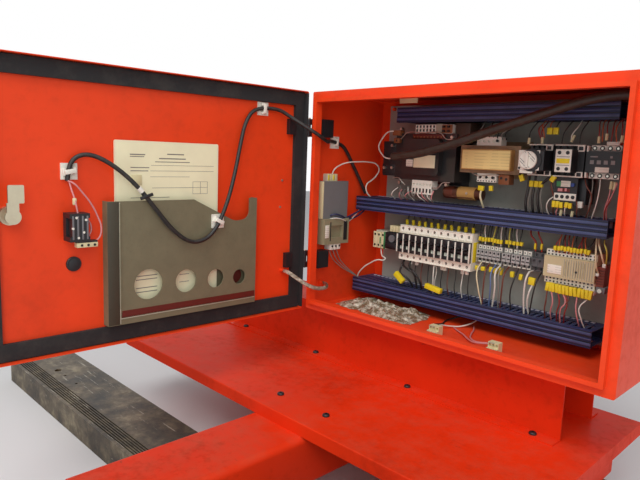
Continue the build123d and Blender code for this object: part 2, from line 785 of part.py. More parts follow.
def connector(x0, y0, width, height):
    """A two-step connector that lies on the floor, with a clamp well for each pole."""
    x1 = x0 + width
    body = slab(x0, x1, y0, y0 + CONNECTOR_D, SHEET, SHEET + height)
    body = body - slab(x0 - 1, x1 + 1, y0 - 1, y0 + CONNECTOR_STEP, SHEET + height / 2, SHEET + height + 1)
    for index in range(3):
        x = x0 + width * (index + 0.5) / 3
        body = body - rod((x, y0 + CONNECTOR_STEP - 1, SHEET + height * 0.75), "y", 5, CONNECTOR_WELL_R)
        body = body - rod((x, y0 - 1, SHEET + height / 4), "y", 5, CONNECTOR_WELL_R)
    return body


# Hinges, lock and the rest of the door


def cabinet_leaf(z):
    """The fixed leaf: a plate on the side wall, two knuckles in front, and two screws through the wall."""
    setback = HINGE_LEAF_SETBACK
    leaf = slab(-HINGE_LEAF_T, 0, setback, setback + HINGE_LEAF_W, z - HINGE_H / 2, z + HINGE_H / 2)
    inner = KNUCKLE_H / 2 + KNUCKLE_GAP
    for low, high in ((-HINGE_H / 2, -inner), (inner, HINGE_H / 2)):
        knuckle = rod((HINGE_X, HINGE_Y, z + low), "z", high - low, KNUCKLE_R)
        web = slab(-HINGE_OFFSET - 2, -1, HINGE_Y + 2, 6, z + low, z + high)
        leaf = fuse(leaf, web, knuckle)
    leaf = leaf - rod((HINGE_X, HINGE_Y, z - HINGE_H), "z", 2 * HINGE_H, PIN_R + PIN_CLEAR)
    for y in HINGE_SCREW_ROWS:
        leaf = leaf + rod((-1, y, z), "x", 1 + SHEET, HINGE_SCREW_R)
    return leaf


def hinge_backing(z):
    """The block inside the side wall that the fixed leaf's screws draw up against."""
    return slab(SHEET, SHEET + HINGE_BLOCK_W, *HINGE_BLOCK_Y, z - HINGE_H / 2, z + HINGE_H / 2)


def door_leaf(z):
    """The moving leaf, drawn with the door shut: a knuckle, a web round the door's edge and a plate."""
    half = KNUCKLE_H / 2
    knuckle = rod((HINGE_X, HINGE_Y, z - half), "z", KNUCKLE_H, KNUCKLE_R)
    web = slab(-HINGE_OFFSET - 2, 0, SKIN_OUT - 1, HINGE_Y, z - half, z + half)
    plate = slab(
        -HINGE_OFFSET - 2, HINGE_LEAF_W, SKIN_OUT - HINGE_LEAF_T, SKIN_OUT, z - HINGE_H / 2, z + HINGE_H / 2
    )
    leaf = fuse(knuckle, web, plate)
    leaf = leaf - rod((HINGE_X, HINGE_Y, z - HINGE_H), "z", 2 * HINGE_H, PIN_R + PIN_CLEAR)
    return leaf + rod((HINGE_LEAF_W - 8, SKIN_OUT - 1, z), "y", DOOR_SHEET + 1, HINGE_SCREW_R)


def door_backing(z):
    """The nut block inside the door, behind the moving leaf."""
    x = SEAL_INSET + SEAL_HINGE_W + 1
    half = HINGE_H / 2 - HINGE_NUT_BLOCK_MARGIN
    return slab(x, x + HINGE_NUT_BLOCK_W, SKIN_IN, SKIN_IN + HINGE_NUT_BLOCK_T, z - half, z + half)


def hinge_pin(z):
    """A pin with a head at its upper end."""
    shank = rod((HINGE_X, HINGE_Y, z - HINGE_H / 2 - 1), "z", HINGE_H + 2, PIN_R)
    return shank + rod((HINGE_X, HINGE_Y, z + HINGE_H / 2), "z", 2.5, PIN_R + 1.5)


def door_panel():
    """A tray folded from sheet: the skin and four returned edges."""
    skin = slab(0, CABINET_W, SKIN_OUT, SKIN_IN, 0, CABINET_H)
    edges = frame_ring(0, DOOR_SHEET, SKIN_OUT, -DOOR_GAP)
    outline = Pos(CABINET_W / 2, CABINET_H / 2) * RectangleRounded(CABINET_W, CABINET_H, CORNER_R)
    tray = skin & extrude(front_plane(SKIN_IN) * outline, amount=DOOR_SHEET)
    panel = tray + edges
    panel = panel - rod((LOCK_X, SKIN_OUT - 1, LOCK_Z), "y", 4, LOCK_BARREL_R + RUNNING_CLEAR)
    panel = panel - rod((BUTTON_X, SKIN_OUT - 1, BUTTON_Z), "y", 4, BUTTON_BARREL_R + RUNNING_CLEAR)
    panel = panel - rod((PLUG_X, SKIN_OUT - 1, PLUG_Z), "y", 4, PLUG_R - 2 + RUNNING_CLEAR)
    for z in HINGE_HEIGHTS:
        panel = panel - rod((HINGE_LEAF_W - 8, SKIN_OUT - 1, z), "y", 4, HINGE_SCREW_R + RUNNING_CLEAR)
    return panel + rod((DOOR_STUD_X, SKIN_IN - 0.5, DOOR_STUD_Z), "y", DOOR_STUD_L + 0.5, EARTH_STUD_R)


def door_seal():
    """A closed band of sealing section that meets the rim all round."""
    outer = slab(SEAL_INSET, CABINET_W - SEAL_INSET, SKIN_IN, SEAL_FACE, SEAL_INSET, CABINET_H - SEAL_INSET)
    inner = slab(
        SEAL_INSET + SEAL_HINGE_W, CABINET_W - SEAL_INSET - SEAL_FREE_W, SKIN_IN - 1, SEAL_FACE + 1,
        SEAL_INSET + SEAL_EDGE_W, CABINET_H - SEAL_INSET - SEAL_EDGE_W,
    )
    return outer - inner


def lock_body():
    """The lock's housing: a collar outside, a barrel through the door and a round case inside."""
    outside = SKIN_OUT - LOCK_COLLAR_T
    collar = rod((LOCK_X, outside, LOCK_Z), "y", LOCK_COLLAR_T, LOCK_BODY_R)
    barrel = rod((LOCK_X, SKIN_OUT - 1, LOCK_Z), "y", DOOR_SHEET + 2, LOCK_BARREL_R)
    case = rod((LOCK_X, SKIN_IN, LOCK_Z), "y", LOCK_BODY_DEPTH, LOCK_BODY_R)
    bore = rod((LOCK_X, outside - 2, LOCK_Z), "y", 40, LOCK_ROTOR_R + PIN_CLEAR)
    return fuse(collar, barrel, case) - bore


def lock_cam():
    """The rotor and its cam: upright when the door is free, behind the rim when it is locked."""
    rotor = rod((LOCK_X, SKIN_OUT - 3, LOCK_Z), "y", CAM_Y + CAM_T - SKIN_OUT + 3, LOCK_ROTOR_R)
    neck_l = CAM_LENGTH - CAM_HEAD_L + 1
    outline = Pos(LOCK_X, LOCK_Z + neck_l / 2) * Rectangle(CAM_NECK_W, neck_l)
    head_z = LOCK_Z + CAM_LENGTH - CAM_HEAD_L / 2
    outline = outline + Pos(LOCK_X + CAM_HEAD_SHIFT, head_z) * RectangleRounded(CAM_HEAD_W, CAM_HEAD_L, 2)
    outline = outline + Pos(LOCK_X, LOCK_Z) * Circle(CAM_HUB_R)
    cam = extrude(front_plane(CAM_Y + CAM_T) * outline, amount=CAM_T)
    slot = slab(LOCK_X - 1.2, LOCK_X + 1.2, SKIN_OUT - 4, SKIN_OUT, LOCK_Z - 3.5, LOCK_Z + 3.5)
    return rotor + cam - slot


def contact_block():
    """The switch behind the button: a barrel through the door with its collar, and the contact case."""
    outside = SKIN_OUT - BUTTON_COLLAR_T
    collar = rod((BUTTON_X, outside, BUTTON_Z), "y", BUTTON_COLLAR_T, BUTTON_BARREL_R + 4)
    case_back = SKIN_IN + CONTACT_STANDOFF
    case_front = case_back + CONTACT_DEPTH
    barrel = rod((BUTTON_X, SKIN_OUT - 1, BUTTON_Z), "y", case_back + 1 - SKIN_OUT, BUTTON_BARREL_R)
    bore = rod((BUTTON_X, outside - 1, BUTTON_Z), "y", 16, BUTTON_STEM_R + RUNNING_CLEAR)
    left = BUTTON_X - CONTACT_W / 2
    right = BUTTON_X + CONTACT_W / 2
    low = BUTTON_Z - CONTACT_H / 2
    case = slab(left, right, case_back, case_front, low, BUTTON_Z + CONTACT_H / 2)
    notch_h = CONTACT_H / 3
    for x in (left, right):
        notch = slab(x - 4, x + 4, case_back + 12, case_front + 1, BUTTON_Z - notch_h, BUTTON_Z + notch_h)
        case = case - notch
    tail_x = (left - 13, left - 13 + CONTACT_TAIL_L)
    tail = slab(*tail_x, case_front - 14, case_front - 2, low - CONTACT_TAIL_H, low + 1)
    return fuse(collar, barrel, case, tail) - bore


def push_button():
    """The button's head and its stem in the barrel."""
    head_front = SKIN_OUT - BUTTON_COLLAR_T - BUTTON_TRAVEL - 1 - BUTTON_HEAD_T
    head = rod((BUTTON_X, head_front, BUTTON_Z), "y", BUTTON_HEAD_T, BUTTON_HEAD_R)
    head = fillet(head.faces().sort_by(Axis.Y)[0].edges(), 2.5)
    stem = rod((BUTTON_X, head_front + BUTTON_HEAD_T - 1, BUTTON_Z), "y", 14, BUTTON_STEM_R)
    return head + stem


def blanking_plug():
    """A snap-in plug: a cap inside the door and a lug ring through the hole."""
    cap = rod((PLUG_X, SKIN_IN, PLUG_Z), "y", PLUG_CAP_T, PLUG_R)
    cap = fillet(cap.faces().sort_by(Axis.Y)[-1].edges(), 1.5)
    ring = rod((PLUG_X, SKIN_OUT - 2, PLUG_Z), "y", DOOR_SHEET + 3, PLUG_R - 2)
    bore = rod((PLUG_X, SKIN_OUT - 3, PLUG_Z), "y", DOOR_SHEET + 3, PLUG_R - 4)
    return cap + ring - bore


def document_pocket():
    """A moulded pocket: closed floor and sides, and a front with a swept notch and holes."""
    back = SKIN_IN
    front = SKIN_IN + POCKET_DEPTH
    left = POCKET_LEFT
    right = POCKET_RIGHT
    low = POCKET_BOTTOM
    high = POCKET_TOP
    tab = left + POCKET_TAB_W
    shoulder = (right - 176, high)
    slope_end = (right - 262, high - 42)
    with BuildSketch(front_plane(front)) as face:
        with BuildLine():
            Polyline((tab, high), (left, high), (left, low), (right, low), (right, high), shoulder, slope_end)
            Spline(slope_end, (right - 288, high - 46), (tab, high - 24), tangents=[(-1, -0.45), (0, 1)])
            Line((tab, high - 24), (tab, high))
        make_face()
        for x, z, radius in POCKET_HOLES:
            with Locations((x, z)):
                Circle(radius, mode=Mode.SUBTRACT)
        with Locations(((left + right) / 2 - 8, low + POCKET_SLOT_RISE)):
            Rectangle(right - left - 2 * POCKET_SLOT_MARGIN, POCKET_SLOT_H, mode=Mode.SUBTRACT)
    front_wall = extrude(face.sketch, amount=POCKET_WALL, dir=(0, -1, 0))
    floor = slab(left, right, back, front, low, low + POCKET_WALL)
    side_a = slab(left, left + POCKET_WALL, back, front, low, high)
    side_b = slab(right - POCKET_WALL, right, back, front, low, high)
    rib_x = right - POCKET_RIB_INSET
    rib = slab(rib_x - 1.2, rib_x + 1.2, front - 1, front + 1.5, low + 30, high - 4)
    back_wall = slab(left, right, back, back + POCKET_WALL, low, high - POCKET_BACK_DROP)
    return fuse(floor, side_a, side_b, back_wall, front_wall, rib)


def document_sleeve():
    """A sleeve of papers that stands in the pocket against the door."""
    back = SKIN_IN + POCKET_WALL + SLEEVE_CLEAR
    low = POCKET_BOTTOM + POCKET_WALL
    sleeve = slab(SLEEVE_LEFT, SLEEVE_LEFT + SLEEVE_W, back, back + SLEEVE_T, low, SLEEVE_TOP)
    return fillet(sleeve.edges().filter_by(Axis.Y), 3)


def clip_on_door(x, z, y):
    """A stick-on cable mount: its square base."""
    size = CLIP_SIZE / 2
    return slab(x - size, x + size, y, y + CLIP_BASE, z - size, z + size)


def clip_on_wall():
    """The same mount on the cabinet's hinge-side wall."""
    size = CLIP_SIZE / 2
    y = WALL_CLIP_Y
    return slab(SHEET, SHEET + CLIP_BASE, y - size, y + size, WALL_CLIP_Z - size, WALL_CLIP_Z + size)


# Cables

CABLE_Y = SKIN_IN + CLIP_BASE + DOOR_CABLE_R + CLIP_CLEAR
CABLE_X = SHEET + CLIP_BASE + DOOR_CABLE_R + CLIP_CLEAR
POCKET_CABLE_Y = SKIN_IN + POCKET_DEPTH + DOOR_CABLE_R + 4
DOOR_ROUTE = (
    (533, CABLE_Y, 300), (531, CABLE_Y, 322), (520, CABLE_Y + 1, 341), (498, CABLE_Y + 5, 347),
    (470, POCKET_CABLE_Y - 10, 336), (440, POCKET_CABLE_Y - 4, 314), (410, POCKET_CABLE_Y - 0.5, 285),
    (379, POCKET_CABLE_Y, 247), (344, POCKET_CABLE_Y + 0.5, 205), (306, POCKET_CABLE_Y, 179),
    (270, POCKET_CABLE_Y + 0.5, 184), (246, POCKET_CABLE_Y, 207), (231, POCKET_CABLE_Y, 235),
    (214, POCKET_CABLE_Y - 3, 272), (196, -2, 322), (181, -8, 374), (166, CABLE_Y + 1, 424),
    (139, CABLE_Y, 455), (98, CABLE_Y, 455),
)
WALL_ROUTE = (
    (CABLE_X, 72, 390), (CABLE_X, 94, 386), (CABLE_X + 1, 114, 364), (CABLE_X + 3, 136, 332),
    (CABLE_X + 6, 158, 299), (CABLE_X + 9, 175, 270),
)
SUPPLY_ROUTE = (
    (CABINET_W - SHEET - GLAND_THREAD_L, GLAND_Y, GLAND_Z), (CABINET_W - 65, GLAND_Y, GLAND_Z + 5),
    (CABINET_W - 122, GLAND_Y - 1, GLAND_Z - 1), (CABINET_W - 180, GLAND_Y - 3, GLAND_Z - 18),
    (CABINET_W - 238, GLAND_Y - 5, GLAND_Z - 36), (CABINET_W - 300, GLAND_Y - 5, GLAND_Z - 54),
    (CABINET_W - 364, GLAND_Y - 4, GLAND_Z - 74), (CABINET_W - 430, GLAND_Y - 2, GLAND_Z - 93),
    (CABINET_W - 492, GLAND_Y + 2, GLAND_Z - 106), (CABINET_W - 548, GLAND_Y + 8, GLAND_Z - 111),
)


def turned(point):
    """A point of the shut door, at the open door's place."""
    angle = radians(-DOOR_OPEN)
    x = point[0] - HINGE_X
    y = point[1] - HINGE_Y
    return (
        HINGE_X + x * cos(angle) - y * sin(angle),
        HINGE_Y + x * sin(angle) + y * cos(angle),
        point[2],
    )


def arc_radii(points, limit=0.45):
    """At each corner the largest arc that the shorter of its two runs allows."""
    vectors = [Vector(*point) for point in points]
    radii = []
    for before, corner, after in zip(vectors, vectors[1:], vectors[2:]):
        first = corner - before
        second = after - corner
        turn = radians(first.get_angle(second))
        radii.append(limit * min(first.length, second.length) / tan(turn / 2))
    return radii


def cable(name, points, radius):
    """A round cable along straight runs joined by tangent arcs. Prints its radii, and its volume check."""
    radii = arc_radii(points)
    path = FilletPolyline(*points, radius=radii)
    start = Plane(origin=path @ 0, z_dir=path % 0)
    tube = sweep(start * Circle(radius), path=path)
    share = tube.volume / (path.length * pi * radius * radius)
    print(name, "length", round(path.length), "radii", [round(r) for r in radii], "volume", round(share, 4))
    return tube


def door_route():
    return [turned(point) for point in DOOR_ROUTE]


def hinge_route():
    """From the door's last clip, round the hinge side and through the opening to the wall clip."""
    start = turned(DOOR_ROUTE[-1])
    second = turned((74, CABLE_Y, 455))
    third = turned((50, CABLE_Y + 10, 440))
    inside = CHANNEL_W + RIM_W + DOOR_CABLE_R + 9
    return [
        start, second, third, (HINGE_X + 26, -38, 420), (inside, -15, 404), (inside - 1, 8, 393),
        (CABLE_X + 14, 32, 389), (CABLE_X, 50, 394), WALL_ROUTE[0],
    ]


def strap_route():
    """From the door's earth stud, through the opening to the stud on the side wall."""
    inside = CHANNEL_W + RIM_W + STRAP_R + 7
    lug = turned((DOOR_STUD_X, SKIN_IN + DOOR_STUD_L, DOOR_STUD_Z))
    second = turned((DOOR_STUD_X, SKIN_IN + DOOR_STUD_L + 15.5, DOOR_STUD_Z))
    stud_tip = SHEET / 2 + WALL_STUD_L
    return [
        lug, second, (16, -55, 84), (27, -40, 71), (inside, -20, 59), (inside + 4, -2, 53),
        (inside + 4.5, 17, 51), (inside + 4, 32, 53), (stud_tip + 16.2, WALL_STUD_Y, WALL_STUD_Z),
        (stud_tip, WALL_STUD_Y, WALL_STUD_Z),
    ]


def supply_gland():
    """A cable gland in the side wall: thread through the wall, nut inside, hexagon and dome outside."""
    centre = (GLAND_Y, GLAND_Z)
    inner_plane = Plane(origin=(CABINET_W - SHEET, *centre), z_dir=(-1, 0, 0))
    outer_plane = Plane(origin=(CABINET_W, *centre), z_dir=(1, 0, 0))
    nut = extrude(inner_plane * RegularPolygon(GLAND_HEX_R, 6), amount=GLAND_NUT_T)
    head = extrude(outer_plane * RegularPolygon(GLAND_HEX_R, 6), amount=GLAND_HEAD_T)
    dome = rod((CABINET_W + GLAND_HEAD_T, *centre), "x", GLAND_DOME_L, GLAND_HEX_R - 3)
    dome = fillet(dome.faces().sort_by(Axis.X)[-1].edges(), 3)
    inner_end = CABINET_W - SHEET - GLAND_THREAD_L
    thread = rod((inner_end, *centre), "x", SHEET + GLAND_THREAD_L, GLAND_THREAD_R)
    bore = rod((inner_end, *centre), "x", 60, SUPPLY_CABLE_R + RUNNING_CLEAR)
    return fuse(thread, nut, head, dome) - bore


# Console, deck, beams and rails


def console():
    """A hat folded from sheet: bolted flanges, two walls and the top that the cabinet stands on."""
    t = CONSOLE_SHEET
    low = DECK_TOP
    outline = [
        (CONSOLE_FRONT - CONSOLE_FLANGE, low), (CONSOLE_FRONT + t, low), (CONSOLE_FRONT + t, -t),
        (CONSOLE_BACK - t, -t), (CONSOLE_BACK - t, low), (CONSOLE_BACK + CONSOLE_FLANGE, low),
        (CONSOLE_BACK + CONSOLE_FLANGE, low + t), (CONSOLE_BACK, low + t), (CONSOLE_BACK, 0),
        (CONSOLE_FRONT, 0), (CONSOLE_FRONT, low + t), (CONSOLE_FRONT - CONSOLE_FLANGE, low + t),
    ]
    hat = profile_x(outline, CONSOLE_LEFT, CONSOLE_RIGHT)
    for x, y in flange_bolt_places():
        hat = hat - rod((x, y, low - 1), "z", t + 2, BOLT_R + BOLT_HOLE_CLEAR)
    for x, y in cabinet_stud_places():
        hat = hat - rod((x, y, -t - 1), "z", t + 2, BOLT_R + BOLT_HOLE_CLEAR)
    start = CONSOLE_RIGHT - CONSOLE_CORNER_CUT
    end = CONSOLE_RIGHT + 1
    corner = Polygon((start, 0), (end, start - end), (end, 1), (start, 1), align=None)
    depth = CONSOLE_BACK - CONSOLE_FRONT + 2
    return hat - extrude(front_plane(CONSOLE_BACK + 1) * corner, amount=depth, dir=(0, -1, 0))


def cabinet_nut(x, y):
    """A nut on one of the cabinet's studs, under the top of the console."""
    plane = Plane(origin=(x, y, -CONSOLE_SHEET - CABINET_NUT_T))
    nut = extrude(plane * RegularPolygon(CABINET_NUT_R, 6), amount=CABINET_NUT_T)
    return nut - rod((x, y, -CABINET_STUD_L - 1), "z", CABINET_STUD_L, BOLT_R + RUNNING_CLEAR)


def flange_bolt_places():
    rows = (CONSOLE_FRONT - CONSOLE_FLANGE / 2, CONSOLE_BACK + CONSOLE_FLANGE / 2)
    return [(FLANGE_BOLT_FIRST + i * FLANGE_BOLT_PITCH, y) for i in range(FLANGE_BOLT_COUNT) for y in rows]


def deck_bolt_places():
    return [(DECK_BOLT_LEFT, DECK_BOLT_Y), (DECK_BOLT_RIGHT, DECK_BOLT_Y)]


def cover_deck():
    """A tray turned over: a flat top with four edges folded down."""
    t = DECK_SHEET
    top = slab(DECK_LEFT, DECK_RIGHT, DECK_FRONT, DECK_BACK, DECK_TOP - t, DECK_TOP)
    low = BEAM_TOP
    edges = [
        slab(DECK_LEFT, DECK_RIGHT, DECK_FRONT, DECK_FRONT + t, low, DECK_TOP),
        slab(DECK_LEFT, DECK_RIGHT, DECK_BACK - t, DECK_BACK, low, DECK_TOP),
        slab(DECK_LEFT, DECK_LEFT + t, DECK_FRONT, DECK_BACK, low, DECK_TOP),
        slab(DECK_RIGHT - t, DECK_RIGHT, DECK_FRONT, DECK_BACK, low, DECK_TOP),
    ]
    deck = fuse(top, *edges)
    front_edges = deck.edges().filter_by(Axis.X).group_by(Axis.Z)[-1].sort_by(Axis.Y)
    deck = fillet(front_edges[0], t * 0.8)
    for x, y in flange_bolt_places() + deck_bolt_places():
        deck = deck - rod((x, y, DECK_TOP - t - 1), "z", t + 2, BOLT_R + BOLT_HOLE_CLEAR)
    return deck


def box_beam(left, front):
    """A square-section beam with rounded edges, open inside."""
    origin = (left + BEAM_W / 2, BEAM_BACK, BEAM_TOP - BEAM_H / 2)
    plane = Plane(origin=origin, x_dir=(1, 0, 0), z_dir=(0, -1, 0))
    outside = RectangleRounded(BEAM_W, BEAM_H, BEAM_CORNER_R)
    inside = RectangleRounded(BEAM_W - 2 * BEAM_WALL, BEAM_H - 2 * BEAM_WALL, BEAM_CORNER_R - BEAM_WALL)
    return extrude(plane * (outside - inside), amount=BEAM_BACK - front)


def end_plate(left, y0):
    """The plate that closes one end of a beam."""
    plane = Plane(
        origin=(left + BEAM_W / 2, y0 + END_PLATE_T, BEAM_TOP - BEAM_H / 2), x_dir=(1, 0, 0), z_dir=(0, -1, 0)
    )
    return extrude(plane * RectangleRounded(BEAM_W, BEAM_H, BEAM_CORNER_R), amount=END_PLATE_T)


def saddle_plates():
    """Packing plates between the beams and the underside of the deck."""
    pieces = []
    for left in (BEAM_LEFT, SIDE_BEAM_LEFT):
        overhang = (SADDLE_W - BEAM_W) / 2
        for y0 in (SADDLE_FRONT_Y, SADDLE_REAR_Y):
            x0 = left - overhang
            x1 = min(left + BEAM_W + overhang, DECK_RIGHT - DECK_SHEET - 1)
            plate = slab(x0, x1, y0, y0 + SADDLE_L, BEAM_TOP, DECK_TOP - DECK_SHEET)
            for x, y in deck_bolt_places():
                if y0 < y < y0 + SADDLE_L and x0 < x < x1:
                    plate = plate - rod((x, y, BEAM_TOP + 2), "z", DECK_FLANGE, BOLT_R + BOLT_HOLE_CLEAR)
            pieces.append(plate)
    return pieces


def button_bolt(x, y, z, length):
    """A button-head bolt with a hexagon socket."""
    shank = rod((x, y, z - length), "z", length, BOLT_R)
    head = rod((x, y, z), "z", BOLT_HEAD_H, BOLT_HEAD_R)
    head = fillet(head.faces().sort_by(Axis.Z)[-1].edges(), BOLT_HEAD_H * 0.6)
    socket = extrude(Plane(origin=(x, y, z + BOLT_HEAD_H - 2.5)) * RegularPolygon(3, 6), amount=3)
    return shank + head - socket


def ground_rail():
    """The ground machine rail, with a ribbed band along its front edge and three tapped holes."""
    left = GROUND_RAIL_LEFT
    right = GROUND_RAIL_RIGHT
    front = GROUND_RAIL_FRONT
    rail = slab(left, right, front, front + GROUND_RAIL_W, FLOOR_Z, BEAM_BOTTOM)
    for index in range(RIB_COUNT):
        y0 = front + RIB_BAND_FROM + index * RIB_PITCH
        y1 = y0 + RIB_GROOVE_W
        rail = rail - slab(left - 1, right + 1, y0, y1, BEAM_BOTTOM - RIB_GROOVE_DEPTH, BEAM_BOTTOM + 1)
    hole_y = front + RAIL_HOLE_FROM_FRONT
    for x, radius in RAIL_HOLES:
        rail = rail - rod((x, hole_y, BEAM_BOTTOM - RAIL_HOLE_DEPTH), "z", RAIL_HOLE_DEPTH + 1, radius)
    return rail


# Build and write every sub-part

os.makedirs("parts", exist_ok=True)

save("ground_rail", ground_rail())
save(
    "rear_rail",
    slab(REAR_RAIL_LEFT, GROUND_RAIL_RIGHT, REAR_RAIL_Y, REAR_RAIL_Y + REAR_RAIL_W, FLOOR_Z, BEAM_BOTTOM),
)
BEAMS = ((BEAM_LEFT, BEAM_FRONT), (SIDE_BEAM_LEFT, SIDE_BEAM_FRONT))
save("box_beams", *[box_beam(left, front) for left, front in BEAMS])
end_plates = [end_plate(left, y0) for left, front in BEAMS for y0 in (front - END_PLATE_T, BEAM_BACK)]
save("beam_plates", *end_plates, *saddle_plates())
save("cover_deck", cover_deck())
save("console", console())
FLANGE_GRIP = CONSOLE_SHEET + DECK_SHEET
flange_top = DECK_TOP + CONSOLE_SHEET
deck_bolts = [button_bolt(x, y, flange_top, FLANGE_GRIP + BOLT_TAIL) for x, y in flange_bolt_places()]
deck_bolts += [button_bolt(x, y, DECK_TOP, DECK_FLANGE - 5) for x, y in deck_bolt_places()]
deck_bolts += [cabinet_nut(x, y) for x, y in cabinet_stud_places()]
save("deck_bolts", *deck_bolts)

save("cabinet_shell", cabinet_shell())
save("mounting_plate", mounting_plate())
DUCT_RUNS = (
    (TOP_DUCT_LEFT_GAP, DUCT_RIGHT, TOP_DUCT_Z),
    (DUCT_LEFT, DUCT_RIGHT, MIDDLE_DUCT_Z),
    (DUCT_LEFT, CABINET_W - BOTTOM_DUCT_RIGHT_GAP, BOTTOM_DUCT_Z),
)
save("duct_trunks", *[duct_trunk(*run) for run in DUCT_RUNS])
save("duct_covers", *[duct_cover(*run) for run in DUCT_RUNS])
save(
    "din_rails",
    mounting_rail(CABINET_W - UPPER_RAIL_GAPS[0], CABINET_W - UPPER_RAIL_GAPS[1], UPPER_RAIL_Z),
    mounting_rail(LOWER_RAIL_GAPS[0], CABINET_W - LOWER_RAIL_GAPS[1], LOWER_RAIL_Z),
)

# Upper row
MAIN_LEFT = CABINET_W - MAIN_TRANSFORMER_GAP
MAIN_LOW = UPPER_RAIL_Z - MAIN_TRANSFORMER_DROP
MAIN_HIGH = MAIN_LOW + MAIN_TRANSFORMER_H
save(
    "main_transformer",
    wound_core(MAIN_LEFT, MAIN_TRANSFORMER_W, MAIN_TRANSFORMER_DEPTH, MAIN_LOW, MAIN_TRANSFORMER_H),
)
main_strip_y = PLATE_FACE - MAIN_TRANSFORMER_DEPTH + STRIP_SETBACK
main_strips = [
    terminal_strip(MAIN_LEFT + 54, 6, STRIP_PITCH, main_strip_y, MAIN_HIGH, STRIP_H),
    terminal_strip(MAIN_LEFT + 124, 3, STRIP_PITCH, main_strip_y, MAIN_HIGH, STRIP_H),
    terminal_strip(MAIN_LEFT + 53, 6, STRIP_PITCH, main_strip_y, MAIN_LOW - STRIP_H, STRIP_H),
]
CONTROL_LEFT = CABINET_W - CONTROL_TRANSFORMER_GAP
CONTROL_LOW = UPPER_RAIL_Z - CONTROL_TRANSFORMER_DROP
CONTROL_HIGH = CONTROL_LOW + CONTROL_TRANSFORMER_H
control_depth = CONTROL_TRANSFORMER_DEPTH
save(
    "control_transformer",
    wound_core(CONTROL_LEFT, CONTROL_TRANSFORMER_W, control_depth, CONTROL_LOW, CONTROL_TRANSFORMER_H),
)
control_strip_y = PLATE_FACE - control_depth + SMALL_STRIP_SETBACK
low_strip_z = CONTROL_LOW - SMALL_STRIP_H
control_strips = [
    terminal_strip(CONTROL_LEFT + 36, 5, SMALL_STRIP_PITCH, control_strip_y, CONTROL_HIGH, SMALL_STRIP_H),
    terminal_strip(CONTROL_LEFT + 42, 4, SMALL_STRIP_PITCH, control_strip_y, low_strip_z, SMALL_STRIP_H),
]
save("transformer_terminals", *(main_strips + control_strips))
CHOKE_LEFT = MAIN_LEFT + CHOKE_INSET
CHOKE_Z = MIDDLE_DUCT_Z + DUCT_H + CHOKE_RISE
choke_core = slab(
    CHOKE_LEFT + CHOKE_CORE_INSET, CHOKE_LEFT + CHOKE_CORE_INSET + CHOKE_CORE_W,
    PLATE_FACE - CHOKE_CORE_DEPTH, PLATE_FACE, CHOKE_Z - CHOKE_CORE_BELOW, CHOKE_Z + CHOKE_CORE_ABOVE,
)
winding = rod((CHOKE_LEFT, PLATE_FACE - CHOKE_STANDOFF, CHOKE_Z), "x", CHOKE_L, CHOKE_R)
save("choke_coil", choke_core + winding)

CONTACTOR_FRONT = RAIL_FACE - CONTACTOR_DEPTH
RIGHT_CONTACTOR_X = CABINET_W - RIGHT_CONTACTOR_GAP
MIDDLE_CONTACTOR_X = RIGHT_CONTACTOR_X - CONTACTOR_SPACE[0] - MIDDLE_CONTACTOR_W
LEFT_CONTACTOR_X = MIDDLE_CONTACTOR_X - CONTACTOR_SPACE[1] - LEFT_CONTACTOR_W
save("contactor_left", contactor(LEFT_CONTACTOR_X, LEFT_CONTACTOR_W, CONTACTOR_H, CONTACTOR_DEPTH))
save("contactor_middle", contactor(MIDDLE_CONTACTOR_X, MIDDLE_CONTACTOR_W, CONTACTOR_H, CONTACTOR_DEPTH))
save("contactor_right", contactor(RIGHT_CONTACTOR_X, RIGHT_CONTACTOR_W, CONTACTOR_H, CONTACTOR_DEPTH))
TIMER_FACE = CONTACTOR_FRONT - TIMER_DEPTH
TIMER_Z = (UPPER_RAIL_Z - TIMER_BELOW, UPPER_RAIL_Z + TIMER_ABOVE)
DIAL_X = LEFT_CONTACTOR_X + DIAL_INSET
DIAL_Z = (TIMER_Z[0] + TIMER_Z[1]) / 2
timer = slab(LEFT_CONTACTOR_X, LEFT_CONTACTOR_X + LEFT_CONTACTOR_W, TIMER_FACE, CONTACTOR_FRONT, *TIMER_Z)
timer = fillet(timer.faces().sort_by(Axis.Y)[0].edges(), 1.5)
shaft_start = TIMER_FACE - 1
well = rod((DIAL_X, shaft_start, DIAL_Z), "y", DIAL_SHAFT_L + 3, DIAL_SHAFT_R + RUNNING_CLEAR)
save("timer_relay", timer - well)
dial_front = TIMER_FACE - DIAL_GAP - DIAL_T
dial = rod((DIAL_X, dial_front, DIAL_Z), "y", DIAL_T, DIAL_R)
dial = fillet(dial.faces().sort_by(Axis.Y)[0].edges(), 1.2)
knob = slab(
    DIAL_X - DIAL_KNOB_W / 2, DIAL_X + DIAL_KNOB_W / 2, dial_front - DIAL_KNOB_H, dial_front + 1,
    DIAL_Z - DIAL_KNOB_L / 2, DIAL_Z + DIAL_KNOB_L / 2,
)
save("timer_dial", fuse(dial, knob, rod((DIAL_X, shaft_start, DIAL_Z), "y", DIAL_SHAFT_L + 1, DIAL_SHAFT_R)))
AUX_X = MIDDLE_CONTACTOR_X + AUX_INSET
AUX_FRONT = CONTACTOR_FRONT - AUX_DEPTH
AUX_Z = (UPPER_RAIL_Z - AUX_H / 2, UPPER_RAIL_Z + AUX_H / 2)
aux = slab(AUX_X, AUX_X + AUX_W, AUX_FRONT, CONTACTOR_FRONT, *AUX_Z)
for x in (AUX_X + AUX_W / 4, AUX_X + AUX_W * 3 / 4):
    for z in (AUX_Z[0] + 6, AUX_Z[1] - 6):
        aux = aux - rod((x, AUX_FRONT - 1, z), "y", 6, AUX_WELL_R)
save("aux_contact_block", aux)
